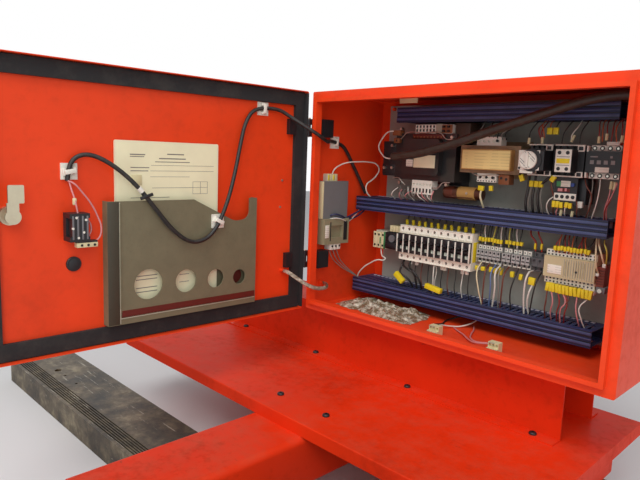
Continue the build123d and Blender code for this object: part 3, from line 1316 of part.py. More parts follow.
OVERLOAD_X = (MIDDLE_CONTACTOR_X + OVERLOAD_INSET, MIDDLE_CONTACTOR_X + OVERLOAD_INSET + OVERLOAD_W)
OVERLOAD_HIGH = UPPER_RAIL_Z - CONTACTOR_H / 2 - OVERLOAD_GAP
OVERLOAD_LOW = OVERLOAD_HIGH - OVERLOAD_H
OVERLOAD_FRONT = RAIL_FACE - OVERLOAD_DEPTH
RESET_X = OVERLOAD_X[1] - RESET_INSET_X
RESET_Z = OVERLOAD_HIGH - RESET_INSET_Z
overload_back = RAIL_FACE - OVERLOAD_BACK_GAP
overload = slab(*OVERLOAD_X, OVERLOAD_FRONT, overload_back, OVERLOAD_LOW, OVERLOAD_HIGH)
well_start = OVERLOAD_FRONT - 1
well_z = OVERLOAD_LOW + OVERLOAD_WELL_RISE
for index in range(4):
    hole_x = OVERLOAD_X[0] + OVERLOAD_W / 2 + (index - 1.5) * OVERLOAD_WELL_PITCH
    overload = overload - rod((hole_x, well_start, well_z), "y", 6, OVERLOAD_WELL_R)
overload = overload - rod((RESET_X, well_start, RESET_Z), "y", RESET_WELL + 1, RESET_R + RUNNING_CLEAR)
save("overload_relay", overload)
reset_l = RESET_PROUD + RESET_WELL - RESET_TRAVEL - 1
save("overload_reset", rod((RESET_X, OVERLOAD_FRONT - RESET_PROUD, RESET_Z), "y", reset_l, RESET_R))

# Lower row
save("breaker_bodies", *[breaker(index) for index in range(BREAKER_COUNT)])
for toggle_index in range(BREAKER_COUNT):
    save(f"breaker_toggle_{toggle_index + 1:02d}", breaker_toggle(toggle_index))
EARTH_Z = LOWER_RAIL_Z - EARTH_DROP
earth = terminal_row(EARTH_LEFT, EARTH_COUNT, EARTH_W, EARTH_H, EARTH_DEPTH, EARTH_Z)
fuse_front = RAIL_FACE - FUSE_DEPTH
FUSE_Z = (EARTH_Z - FUSE_BELOW, EARTH_Z + FUSE_ABOVE)
fuse_base = slab(FUSE_LEFT, FUSE_LEFT + FUSE_W, fuse_front, RAIL_FACE, *FUSE_Z)
fuse_middle = (FUSE_LEFT + FUSE_W / 2, fuse_front - 1, (FUSE_Z[0] + FUSE_Z[1]) / 2)
fuse_base = fuse_base - rod(fuse_middle, "y", FUSE_WELL_DEPTH + 1, FUSE_WELL_R)
terminals = terminal_row(TERMINAL_LEFT, TERMINAL_COUNT, TERMINAL_W, TERMINAL_H, TERMINAL_DEPTH, LOWER_RAIL_Z)
for index in range(PAIR_COUNT):
    pair_left = TERMINAL_LEFT + PAIR_STEP + index * PAIR_PITCH
    terminals += terminal_row(pair_left, 2, TERMINAL_W, TERMINAL_H, TERMINAL_DEPTH, LOWER_RAIL_Z)
wide_left = TERMINAL_LEFT + WIDE_TERMINAL_STEP
wide_depth = TERMINAL_DEPTH - WIDE_TERMINAL_SETBACK
terminals += terminal_row(wide_left, 2, WIDE_TERMINAL_W, TERMINAL_H, wide_depth, LOWER_RAIL_Z)
save("terminal_blocks", *earth, fuse_base, *terminals)
coil_left = CONTROLLER_LEFT + CONTROLLER_W + COIL_BLOCK_GAP
save(
    "controller",
    controller(CONTROLLER_LEFT, CONTROLLER_W, CONTROLLER_H, CONTROLLER_DEPTH),
    coil_block(coil_left, LOWER_RAIL_Z - COIL_BLOCK_H / 2 - COIL_BLOCK_DROP),
)

# Hinge-side wall and floor
MODULE_LOW = CABINET_H - MODULE_DROP[0]
MODULE_HIGH = CABINET_H - MODULE_DROP[1]
module = slab(SHEET, SHEET + MODULE_DEPTH, *MODULE_Y, MODULE_LOW, MODULE_HIGH)
module = fillet(module.edges().filter_by(Axis.Z), MODULE_CORNER_R)
module_strip = slab(
    SHEET, SHEET + MODULE_STRIP_DEPTH, *MODULE_STRIP_Y, MODULE_HIGH, MODULE_HIGH + MODULE_STRIP_H
)
relay_face = SHEET + RELAY_BASE_DEPTH
relay_base = slab(SHEET, relay_face, *RELAY_BASE_Y, MODULE_LOW - RELAY_BASE_H, MODULE_LOW)
relay_base = relay_base - slab(
    relay_face - RELAY_WELL_DEPTH, relay_face + 1, *RELAY_WELL_Y,
    MODULE_LOW - RELAY_BASE_H + RELAY_WELL_INSET, MODULE_LOW - RELAY_WELL_INSET,
)
save("side_module", module, module_strip, relay_base)
save("loose_connectors", *[connector(*sizes) for sizes in CONNECTORS])

# Door
save_on_door("door_panel", door_panel())
save_on_door("door_seal", door_seal())
save("hinge_cabinet_leaves", *[piece(z) for z in HINGE_HEIGHTS for piece in (cabinet_leaf, hinge_backing)])
door_leaves = [door_leaf(z) for z in HINGE_HEIGHTS] + [door_backing(z) for z in HINGE_HEIGHTS]
save_on_door("hinge_door_leaves", *door_leaves)
save("hinge_pins", *[hinge_pin(z) for z in HINGE_HEIGHTS])
save_on_door("lock_body", lock_body())
save_on_door("lock_cam", lock_cam())
save_on_door("contact_block", contact_block())
save_on_door("push_button", push_button())
save_on_door("blanking_plug", blanking_plug())
save_on_door("document_pocket", document_pocket())
save_on_door("document_sleeve", document_sleeve())
door_clips = [clip_on_door(x, CABINET_H - drop, SKIN_IN) for x, drop in SKIN_CLIPS]
save_on_door("door_clips", *door_clips, clip_on_door(*POCKET_CLIP, SKIN_IN + POCKET_DEPTH))
save("wall_clip", clip_on_wall())

# Cables
save("supply_gland", supply_gland())
save("supply_cable", cable("supply_cable", SUPPLY_ROUTE, SUPPLY_CABLE_R))
save("door_cable", cable("door_cable", door_route(), DOOR_CABLE_R))
save("hinge_cable", cable("hinge_cable", hinge_route(), DOOR_CABLE_R))
save("wall_cable", cable("wall_cable", WALL_ROUTE, DOOR_CABLE_R))
save("earth_strap", cable("earth_strap", strap_route(), STRAP_R))
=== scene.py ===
import json
import random
from math import cos, pi, radians, sin

import bmesh
import bpy
from mathutils import Matrix, Vector, noise


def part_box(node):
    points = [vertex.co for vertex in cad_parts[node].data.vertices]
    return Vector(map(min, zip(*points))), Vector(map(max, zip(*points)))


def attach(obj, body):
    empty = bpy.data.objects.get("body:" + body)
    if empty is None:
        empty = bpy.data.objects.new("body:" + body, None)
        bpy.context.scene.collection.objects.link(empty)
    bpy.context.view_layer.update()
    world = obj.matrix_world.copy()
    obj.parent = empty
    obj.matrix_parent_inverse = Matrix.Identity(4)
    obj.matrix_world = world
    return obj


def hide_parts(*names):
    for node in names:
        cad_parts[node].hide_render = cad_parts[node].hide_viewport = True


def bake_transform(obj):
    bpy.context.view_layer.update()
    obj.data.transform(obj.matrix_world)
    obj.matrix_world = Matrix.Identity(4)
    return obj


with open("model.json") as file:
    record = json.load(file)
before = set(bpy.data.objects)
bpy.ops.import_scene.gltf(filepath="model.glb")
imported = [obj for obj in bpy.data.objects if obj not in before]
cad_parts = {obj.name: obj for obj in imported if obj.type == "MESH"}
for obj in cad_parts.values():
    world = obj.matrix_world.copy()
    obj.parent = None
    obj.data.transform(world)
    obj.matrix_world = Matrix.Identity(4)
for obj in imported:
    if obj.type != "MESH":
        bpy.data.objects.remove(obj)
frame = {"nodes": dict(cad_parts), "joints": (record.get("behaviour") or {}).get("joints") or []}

bl_info = {
    "name": "Machine control cabinet",
    "version": (1, 0, 0),
    "blender": (4, 5, 0),
    "location": "View3D > Sidebar > Cabinet",
    "description": "Dresses a machine control cabinet and the frame it stands on",
    "category": "Add Mesh",
}

# Places. Pieces are drawn in millimetres in the cabinet's own frame, which has its origin at
# the cabinet's front, left, bottom corner, and the door's pieces in the same frame with the
# door shut. Both go from there to the row frame, in metres.

MM = 0.001
CABINET_DEPTH, CABINET_HEIGHT = 250.0, 500.0
SHELL_LOW, SHELL_HIGH = (Vector(corner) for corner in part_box("cabinet_shell"))
CORNER = Vector((SHELL_LOW.x, SHELL_HIGH.y - CABINET_DEPTH * MM, SHELL_HIGH.z - CABINET_HEIGHT * MM))
CABINET = Matrix.Translation(CORNER) @ Matrix.Scale(MM, 4)
HINGE = next(joint for joint in frame["joints"] if joint["name"] == "door_hinge")
DOOR_OPEN = radians(HINGE["range_deg"][1])
HINGE_AT = Vector((HINGE["pos_m"][0], HINGE["pos_m"][1], 0))
DOOR = (
    Matrix.Translation(HINGE_AT)
    @ Matrix.Rotation(-DOOR_OPEN, 4, "Z")
    @ Matrix.Translation(-HINGE_AT)
    @ CABINET
)
SKIN = -20.5  # y of the shut door's inner face
BREAKERS_LEFT, BREAKER_PITCH = 139.5, 17.6
BREAKERS = [BREAKERS_LEFT + (i + 0.5) * BREAKER_PITCH for i in range(11)]
FLOOR_LEVEL = -0.0004  # metres, just under the object's feet
STRAP_HALF_WIDTH, STRAP_FLATNESS = 4.5, 0.35
MOST_ROUNDED = 0.3  # of a block's thinnest side
SHARP_ANGLE = 32  # degrees between two faces from which their edge is drawn sharp
RANDOM = random.Random(7)


def about(spread):
    """A small difference either way, the same in every run."""
    return RANDOM.uniform(-spread, spread)


def srgb(red, green, blue):
    """A colour as a screen shows it, in linear light."""
    def linear(level):
        level /= 255
        return level / 12.92 if level <= 0.04045 else ((level + 0.055) / 1.055) ** 2.4

    return (linear(red), linear(green), linear(blue), 1.0)


def shade(colour, factor):
    return tuple(min(1.0, level * factor) for level in colour[:3]) + (1.0,)


# Shader maths


def operation(name, swapped=False):
    """An operator of Value, which adds one Math node."""

    def apply(self, other):
        return self.maths(name, *((other, self) if swapped else (self, other)))

    return apply


class Value:
    """A shader socket. Expressions on it add the nodes that work them out."""

    __add__, __radd__ = operation("ADD"), operation("ADD", True)
    __sub__, __rsub__ = operation("SUBTRACT"), operation("SUBTRACT", True)
    __mul__, __rmul__ = operation("MULTIPLY"), operation("MULTIPLY", True)

    def __init__(self, finish, socket):
        self.finish = finish
        self.socket = socket

    def maths(self, name, *terms):
        return self.finish.node("ShaderNodeMath", {"operation": name}, dict(enumerate(terms)))

    def wave(self):
        return self.maths("SINE", self)

    def absolute(self):
        return self.maths("ABSOLUTE", self)

    def window(self, low, high):
        """0 below low, 1 above high, and even between."""
        sockets = {"Value": self, "From Min": low, "From Max": high}
        return self.finish.node("ShaderNodeMapRange", {"clamp": True}, sockets)


class Finish:
    """A material being made: its nodes, its Principled shader and what feeds it."""

    def __init__(self, name):
        self.material = bpy.data.materials.new(name)
        self.material.use_nodes = True
        self.tree = self.material.node_tree
        self.shader = self.tree.nodes["Principled BSDF"]
        self.point = self.node("ShaderNodeTexCoord", out="Object")

    def node(self, kind, settings=None, sockets=None, out=0):
        """Adds one node, with its settings made first, and gives one of its outputs."""
        made = self.tree.nodes.new(kind)
        for key, setting in (settings or {}).items():
            if key == "stops":
                self.set_stops(made.color_ramp, setting)
            else:
                setattr(made, key, setting)
        for key, value in (sockets or {}).items():
            self.feed(made.inputs[key], value)
        return None if out is None else Value(self, made.outputs[out])

    def set_stops(self, ramp, stops):
        while len(ramp.elements) < len(stops):
            ramp.elements.new(0.5)
        for element, (position, colour) in zip(ramp.elements, stops):
            element.position = position
            element.color = colour

    def feed(self, socket, value):
        if isinstance(value, Value):
            self.tree.links.new(value.socket, socket)
        else:
            socket.default_value = value

    def set(self, **sockets):
        """Feeds the shader: base_color stands for its Base Color socket, and so on."""
        for key, value in sockets.items():
            name = key.replace("_", " ").title().replace("Ior", "IOR")
            self.feed(self.shader.inputs[name], value)

    def noise(self, scale, detail=3.0, roughness=0.5, point=None):
        """Cloudy noise from 0 to 1, over the surface or over a stretched point."""
        sockets = {"Vector": point or self.point, "Scale": scale, "Detail": detail, "Roughness": roughness}
        return self.node("ShaderNodeTexNoise", None, sockets)

    def stretched(self, x, y, z):
        """The surface point with each axis scaled, for streaks and grain."""
        return self.node("ShaderNodeVectorMath", {"operation": "MULTIPLY"}, {0: self.point, 1: (x, y, z)})

    def mix(self, first, second, mask):
        """A colour between two, by a mask from 0 to 1."""
        return self.node("ShaderNodeMix", {"data_type": "RGBA"}, {0: mask, 6: first, 7: second}, out=2)

    def part(self, axis, vector=None):
        return self.node("ShaderNodeSeparateXYZ", None, {0: vector or self.point}, out=axis)

    def facing_up(self):
        normal = self.node("ShaderNodeNewGeometry", out="Normal")
        return self.part("Z", normal).window(0.3, 0.95)

    def bump(self, height, strength, distance):
        sockets = {"Height": height, "Strength": strength, "Distance": distance}
        self.set(normal=self.node("ShaderNodeBump", None, sockets))


def paint(finish, colour, roughness=0.38, dirt=0.25, worn=0.0, gloss=0.3):
    """Sprayed enamel: a fine orange peel, faint clouds, dust on top and a little grime."""
    clouds = finish.noise(5.0, 4.0, 0.6)
    spots = finish.noise(60.0, 4.0, 0.6)
    grime = (clouds * 0.5 + spots * 0.5).window(0.52, 0.7) * dirt
    base = finish.mix(shade(colour, 1.04), shade(colour, 0.84), clouds.window(0.3, 0.75))
    base = finish.mix(base, shade(colour, 0.45), grime)
    dust = finish.facing_up() * finish.noise(22.0, 6.0, 0.7).window(0.42, 0.8) * (0.5 * dirt)
    base = finish.mix(base, srgb(150, 120, 95), dust)
    if worn:
        scuffs = finish.noise(9.0, 8.0, 0.75, finish.stretched(1, 4, 9)).window(0.66, 0.7) * worn
        base = finish.mix(base, srgb(120, 60, 40), scuffs)
    peel = finish.noise(700.0, 2.0, 0.5)
    finish.set(base_color=base, roughness=roughness + spots * 0.14 + grime * 0.3)
    finish.set(specular_ior_level=gloss, coat_weight=gloss / 6, coat_roughness=0.25)
    finish.bump(peel * 0.7 + spots * 0.6, 0.12, 0.0006)


def plastic(finish, colour, roughness=0.45, grain=1500.0, dirt=0.3, contrast=0.9):
    """Moulded plastic: a fine spark texture, and handling marks that dull it."""
    clouds = finish.noise(35.0, 4.0, 0.6)
    base = finish.mix(colour, shade(colour, contrast), clouds.window(0.35, 0.7))
    marks = finish.noise(140.0, 6.0, 0.7).window(0.58, 0.8) * dirt
    base = finish.mix(base, shade(colour, 0.55), marks)
    finish.set(base_color=base, roughness=roughness + clouds * 0.12 + marks * 0.2)
    finish.bump(finish.noise(grain, 2.0), 0.08, 0.0002)


def mottled(finish, *parts):
    """Moulded plastic in several colours: each part has a colour and a maker of its mask."""
    clouds = finish.noise(35.0, 4.0, 0.6)
    base = parts[0][0]
    for colour, mask in parts[1:]:
        base = finish.mix(base, colour, mask(finish))
    marks = finish.noise(140.0, 6.0, 0.7).window(0.58, 0.8) * 0.3
    base = finish.mix(base, (0.05, 0.045, 0.04, 1), marks * 0.5 + clouds.window(0.4, 0.8) * 0.08)
    finish.set(base_color=base, roughness=0.42 + clouds * 0.12 + marks * 0.2)
    finish.bump(finish.noise(1500.0, 2.0), 0.08, 0.0002)


def beyond(axis, low, high=None):
    """A mask maker: 1 past a place in the cabinet along an axis, or between two."""
    start = {"X": CORNER.x, "Y": CORNER.y, "Z": CORNER.z}[axis]

    def mask(finish):
        along = finish.part(axis)
        past = along.window(start + (low - 0.2) * MM, start + (low + 0.2) * MM)
        if high is None:
            return past
        return past * (1 - along.window(start + (high - 0.2) * MM, start + (high + 0.2) * MM))

    return mask


def nose(finish):
    """The black middle of the breakers, in front of their shoulders."""
    return beyond("Z", 141.6, 186.4)(finish) * beyond("Y", 0, 166.2)(finish)


def bright_metal(finish, colour, roughness=0.3, streak=(1, 1, 1), tarnish=0.3):
    """Plated or machined metal, with fine lines along one axis and dull patches."""
    lines = finish.noise(900.0, 3.0, 0.5, finish.stretched(*streak))
    patches = finish.noise(45.0, 5.0, 0.65).window(0.45, 0.75) * tarnish
    base = finish.mix(colour, shade(colour, 0.55), patches)
    finish.set(base_color=base, roughness=roughness + lines * 0.12 + patches * 0.3,
        metallic=0.95 - patches * 0.5)
    finish.bump(lines, 0.06, 0.0002)


def machine_bed(finish):
    """Worn, oily cast metal, mottled beige and grey, with dark stains and pale scrapes, all darkened as
    painted shade.
    """
    blotch = finish.noise(13.0, 8.0, 0.7)
    stain = finish.noise(31.0, 8.0, 0.72)
    # The stops are darkened overall: painted shade over the mottled colours
    stops = [(0.34, srgb(32, 28, 22)), (0.46, srgb(66, 56, 42)), (0.56, srgb(100, 88, 68)),
        (0.72, srgb(160, 148, 120))]
    base = finish.node("ShaderNodeValToRGB", {"stops": stops}, {"Fac": blotch})
    base = finish.mix(base, srgb(88, 62, 38), stain.window(0.56, 0.7) * 0.7)
    scrape = finish.noise(40.0, 6.0, 0.7, finish.stretched(0.2, 3, 1)).window(0.62, 0.66) * 0.5
    base = finish.mix(base, srgb(214, 208, 190), scrape)
    finish.set(base_color=base, roughness=0.62 - stain * 0.25, metallic=0.15 + scrape * 0.4)
    finish.bump(blotch * 0.6 + stain + finish.noise(420.0, 4.0) * 0.25, 0.35, 0.0012)


def ducting(finish):
    """Slate-blue slotted duct plastic with fine lines drawn along it, and dust with painted highlight on its
    upward faces.
    """
    lines = finish.noise(160.0, 2.0, 0.5, finish.stretched(0.02, 1, 1.6))
    # On upward faces: dust, and painted highlight on the comb walls' tops, in one pale colour
    dust = finish.facing_up() * finish.noise(50.0, 6.0, 0.7).window(0.4, 0.75)
    base = finish.mix(srgb(38, 50, 102), srgb(18, 24, 54), lines.window(0.35, 0.65))
    base = finish.mix(base, srgb(122, 126, 140), dust * 0.4)
    finish.set(base_color=base, roughness=0.42 + lines * 0.16 + dust * 0.2)
    finish.bump(lines, 0.1, 0.0004)


def foam(finish):
    """Soft dark sealing foam, full of fine pores."""
    pores = finish.noise(900.0, 3.0, 0.7)
    rub = finish.noise(20.0, 5.0, 0.7).window(0.5, 0.75)
    finish.set(base_color=finish.mix(srgb(34, 33, 34), srgb(66, 62, 58), rub * 0.6),
        roughness=0.8 + pores * 0.15)
    finish.bump(pores, 0.35, 0.0006)


def laminated(finish, colour, coil):
    """Varnished transformer laminations: fine parallel lines under a lacquer."""
    sheets = (finish.part("Y") * 4200.0).wave() * 0.5 + 0.5
    runs = finish.noise(26.0, 5.0, 0.65)
    base = finish.mix(colour, coil, runs.window(0.45, 0.75))
    finish.set(base_color=base, roughness=0.34 + runs * 0.2)
    finish.shader.inputs["Coat Weight"].default_value = 0.3
    finish.bump(sheets * 0.3 + runs, 0.25, 0.0006)


def winding(finish):
    """Lacquered copper wire wound side by side."""
    turns = (finish.part("X") * 3600.0).wave() * 0.5 + 0.5
    tone = finish.noise(60.0, 4.0, 0.6)
    base = finish.mix(srgb(122, 62, 30), srgb(62, 30, 16), tone)
    # Darker between the turns: painted shade
    finish.set(base_color=finish.mix(base, srgb(34, 16, 10), (1 - turns) * 0.5), roughness=0.3 + tone * 0.2)
    finish.set(metallic=turns * 0.4)
    finish.bump(turns, 0.5, 0.0006)


def jacket(finish, colour, roughness=0.5):
    """A cable's jacket, faintly ribbed and dusty."""
    dust = finish.noise(110.0, 6.0, 0.7).window(0.45, 0.8)
    base = finish.mix(colour, srgb(112, 104, 92), dust * 0.28)
    finish.set(base_color=base, roughness=roughness + dust * 0.25)
    finish.bump(finish.noise(320.0, 4.0, 0.6), 0.18, 0.0006)


def braid(finish):
    """Tinned braid: two sets of crossing strands."""
    along = finish.part("Y") * 2600.0
    down = finish.part("Z") * 2600.0
    weave = (along + down).wave() * (along - down).wave()
    shade_mask = finish.noise(120.0, 4.0).window(0.4, 0.7)
    finish.set(base_color=finish.mix(srgb(196, 188, 170), srgb(120, 108, 88), shade_mask), metallic=0.85)
    finish.set(roughness=0.38 + weave.absolute() * 0.2)
    finish.bump(weave, 0.5, 0.0008)


def paper(finish, colour, rules=0.0, pitch=4.5):
    """Card or paper, slightly cockled, with faint ruled bars, a pitch apart, where it is a form."""
    cockle = finish.noise(16.0, 3.0, 0.5)
    base = finish.mix(colour, shade(colour, 0.86), cockle.window(0.3, 0.8))
    if rules:
        rows = ((finish.part("Z") * (2 * pi / (pitch * MM))).wave()).window(0.45, 0.75)
        breaks = finish.noise(300.0 / pitch, 2.0, 0.5, finish.stretched(1, 1, 0.3)).window(0.44, 0.5)
        base = finish.mix(base, shade(colour, 0.45), rows * breaks * rules)
    finish.set(base_color=base, roughness=0.6 + cockle * 0.1)
    finish.bump(cockle, 0.3, 0.002)


def clear_film(finish):
    """Crumpled clear film: mostly seen through, with painted highlight along its creases."""
    crease = finish.noise(70.0, 6.0, 0.7)
    dull = finish.noise(30.0, 4.0, 0.6).window(0.35, 0.7)
    # Pale colour along the creases: painted highlight
    tone = finish.mix(srgb(132, 120, 92), srgb(242, 236, 216), crease.window(0.44, 0.64))
    finish.set(base_color=tone, roughness=0.2 + crease * 0.15)
    finish.set(alpha=0.8 + crease.window(0.46, 0.62) * 0.18 - dull * 0.14)
    finish.bump(crease, 0.8, 0.004)


class Backdrop(Finish):
    """The world: white where it is seen, and an even, weaker light where it lights the object."""

    def __init__(self, name, strength):
        self.world = bpy.data.worlds.new(name)
        self.world.use_nodes = True
        self.tree = self.world.node_tree
        self.tree.nodes.clear()
        lit = self.node("ShaderNodeBackground", None, {"Color": (0.96, 0.97, 1.0, 1), "Strength": strength})
        seen = self.node("ShaderNodeBackground", None, {"Color": (1, 1, 1, 1), "Strength": 1.0})
        rays = [self.node("ShaderNodeLightPath", out=out) for out in ("Is Camera Ray", "Is Glossy Ray")]
        rays.append(self.node("ShaderNodeLightPath", out="Is Transmission Ray"))
        mask = rays[0].maths("MAXIMUM", rays[0], rays[1])
        mask = mask.maths("MAXIMUM", mask, rays[2])
        both = self.node("ShaderNodeMixShader", None, {0: mask, 1: lit, 2: seen})
        self.node("ShaderNodeOutputWorld", None, {"Surface": both}, out=None)


ORANGE = srgb(248, 72, 26)
DEEP_ORANGE = srgb(230, 54, 17)

# Each finish with its maker and what that takes. A word stands for one of the user's colours

FINISHES = {
    "cabinet": (paint, "cabinet_enamel", 0.36, 0.25),
    "door": (paint, "cabinet_enamel", 0.36, 0.2),
    "deck": (paint, "frame_enamel", 0.46, 0.4, 0.5, 0.12),
    "beam": (paint, "frame_enamel", 0.48, 0.5, 0.8, 0.16),
    "bed": (machine_bed,),
    "zinc": (bright_metal, srgb(206, 202, 190), 0.28),
    "plate": (paint, srgb(160, 162, 152), 0.45, 0.35),
    "rail": (bright_metal, srgb(186, 184, 172), 0.32, (0.05, 1, 1)),
    "duct": (ducting,),
    # Lighter blue for the duct covers' ridges: painted highlight
    "duct_band": (plastic, srgb(78, 90, 134), 0.4, 900.0, 0.5, 0.7),
    # Pale plastic for the comb walls' tops: painted highlight
    "duct_tip": (plastic, srgb(196, 200, 214), 0.5, 900.0, 0.5, 0.7),
    "breaker": (mottled, (srgb(250, 246, 230), None), (srgb(24, 24, 27), nose)),
    "terminal": (
        mottled, (srgb(224, 220, 196), None), (srgb(34, 34, 36), beyond("X", 91)),
        (srgb(178, 176, 172), beyond("X", 300)), (srgb(92, 90, 92), beyond("X", 460)),
    ),
    "controls": (mottled, (srgb(206, 192, 150), None), (srgb(126, 52, 34), beyond("X", 591.8))),
    "wall_module": (
        mottled, (srgb(148, 142, 112), None), (srgb(122, 122, 122), beyond("Z", 212.2)),
        (srgb(206, 200, 176), beyond("Z", 300.2)),
    ),
    # Darker pocket plastic for the pocket's shaded left part: painted shade
    "pocket_dark": (plastic, srgb(64, 60, 46), 0.5, 900.0, 0.5),
    "black_core": (laminated, srgb(30, 29, 30), srgb(44, 42, 40)),
    "tan_core": (laminated, srgb(150, 124, 92), srgb(112, 90, 64)),
    "winding": (winding,),
    "white": (plastic, srgb(240, 236, 222), 0.42),
    "cream": (plastic, srgb(226, 216, 170), 0.42),
    # Beige; also used for painted highlight along the pocket's edges
    "beige": (plastic, srgb(176, 170, 150), 0.5),
    "grey_block": (plastic, srgb(150, 148, 146), 0.5, 1500.0, 0.5),
    # Black; also used for painted shade in holes, slots and duct grooves
    "black": (plastic, srgb(28, 28, 31), 0.4),
    "toggle": (plastic, srgb(24, 24, 28), 0.3),
    "module": (plastic, srgb(112, 112, 114), 0.5),
    "blue": (plastic, srgb(44, 72, 140), 0.4),
    "red": (plastic, srgb(170, 26, 18), 0.28),
    # Dark red; also used for painted shadow of the door's paint in the pocket
    "dark_red": (plastic, srgb(96, 26, 14), 0.5),
    "yellow": (plastic, srgb(238, 214, 36), 0.4),
    "green": (plastic, srgb(66, 140, 84), 0.45),
    "brown": (plastic, srgb(140, 84, 48), 0.45),
    # Also used for painted shade on the door's hinge-side return
    "seal": (foam,),
    "pocket": (plastic, srgb(120, 114, 88), 0.5, 1100.0, 0.3, 0.86),
    "paper": (paper, srgb(250, 240, 204)),
    "label": (paper, srgb(248, 244, 228), 0.5),
    "orange_label": (paper, srgb(255, 232, 156), 0.3, 6.0),
    "form_label": (paper, srgb(252, 246, 206)),
    "gold": (plastic, srgb(196, 150, 84), 0.5, 700.0, 0.5),
    "dark_brown": (plastic, srgb(66, 46, 34), 0.5, 900.0, 0.5),
    "cam": (bright_metal, srgb(210, 202, 176), 0.34),
    "jacket": (jacket, srgb(26, 25, 25)),
    "brown_jacket": (jacket, srgb(52, 42, 34), 0.42),
    "braid": (braid,),
    "film": (clear_film,),
    "wire_red": (jacket, srgb(150, 30, 22), 0.38),
}
WIRE_COLOURS = {
    "black": (30, 28, 28), "white": (226, 222, 210), "blue": (96, 120, 164), "yellow": (206, 200, 84),
    "pink": (214, 138, 138), "brown": (112, 52, 34), "orange": (196, 96, 44), "green": (70, 84, 62),
    "cream": (232, 218, 176), "grey": (128, 124, 116), "navy": (36, 42, 84),
}
for wire, levels in WIRE_COLOURS.items():
    FINISHES["wire_" + wire] = (jacket, srgb(*levels), 0.4)

# Each finish with the modelled nodes that take it

NODES_OF_FINISH = {
    "cabinet": "cabinet_shell",
    "door": "door_panel",
    "deck": "console cover_deck",
    "beam": "box_beams beam_plates",
    "bed": "ground_rail rear_rail",
    "black": (
        "deck_bolts contactor_left contactor_middle contactor_right timer_relay aux_contact_block "
        "overload_relay hinge_cabinet_leaves hinge_door_leaves contact_block blanking_plug "
        "supply_gland"
    ),
    "plate": "mounting_plate",
    "duct": "duct_trunks duct_covers",
    "rail": "din_rails",
    "black_core": "main_transformer",
    "tan_core": "control_transformer",
    "white": "transformer_terminals timer_dial door_clips wall_clip",
    "winding": "choke_coil",
    "blue": "overload_reset",
    "breaker": "breaker_bodies",
    "terminal": "terminal_blocks",
    "controls": "controller",
    "wall_module": "side_module",
    "cream": "loose_connectors",
    "seal": "door_seal",
    "zinc": "hinge_pins",
    "cam": "lock_body lock_cam",
    "red": "push_button",
    "pocket": "document_pocket",
    "paper": "document_sleeve",
    "brown_jacket": "supply_cable",
    "jacket": "door_cable hinge_cable wall_cable",
    "braid": "earth_strap",
}
FINISH_OF_NODE = {node: key for key, nodes in NODES_OF_FINISH.items() for node in nodes.split()}


def finish_named(key):
    """The finish with that name, made the first time that something asks for it."""
    name = "finish_" + key
    if name not in bpy.data.materials:
        maker, *levels = FINISHES[key]
        chosen = bpy.context.scene.cabinet_colours
        levels = [tuple(getattr(chosen, level)) if isinstance(level, str) else level for level in levels]
        maker(Finish(name), *levels)
    return bpy.data.materials[name]


# Meshes


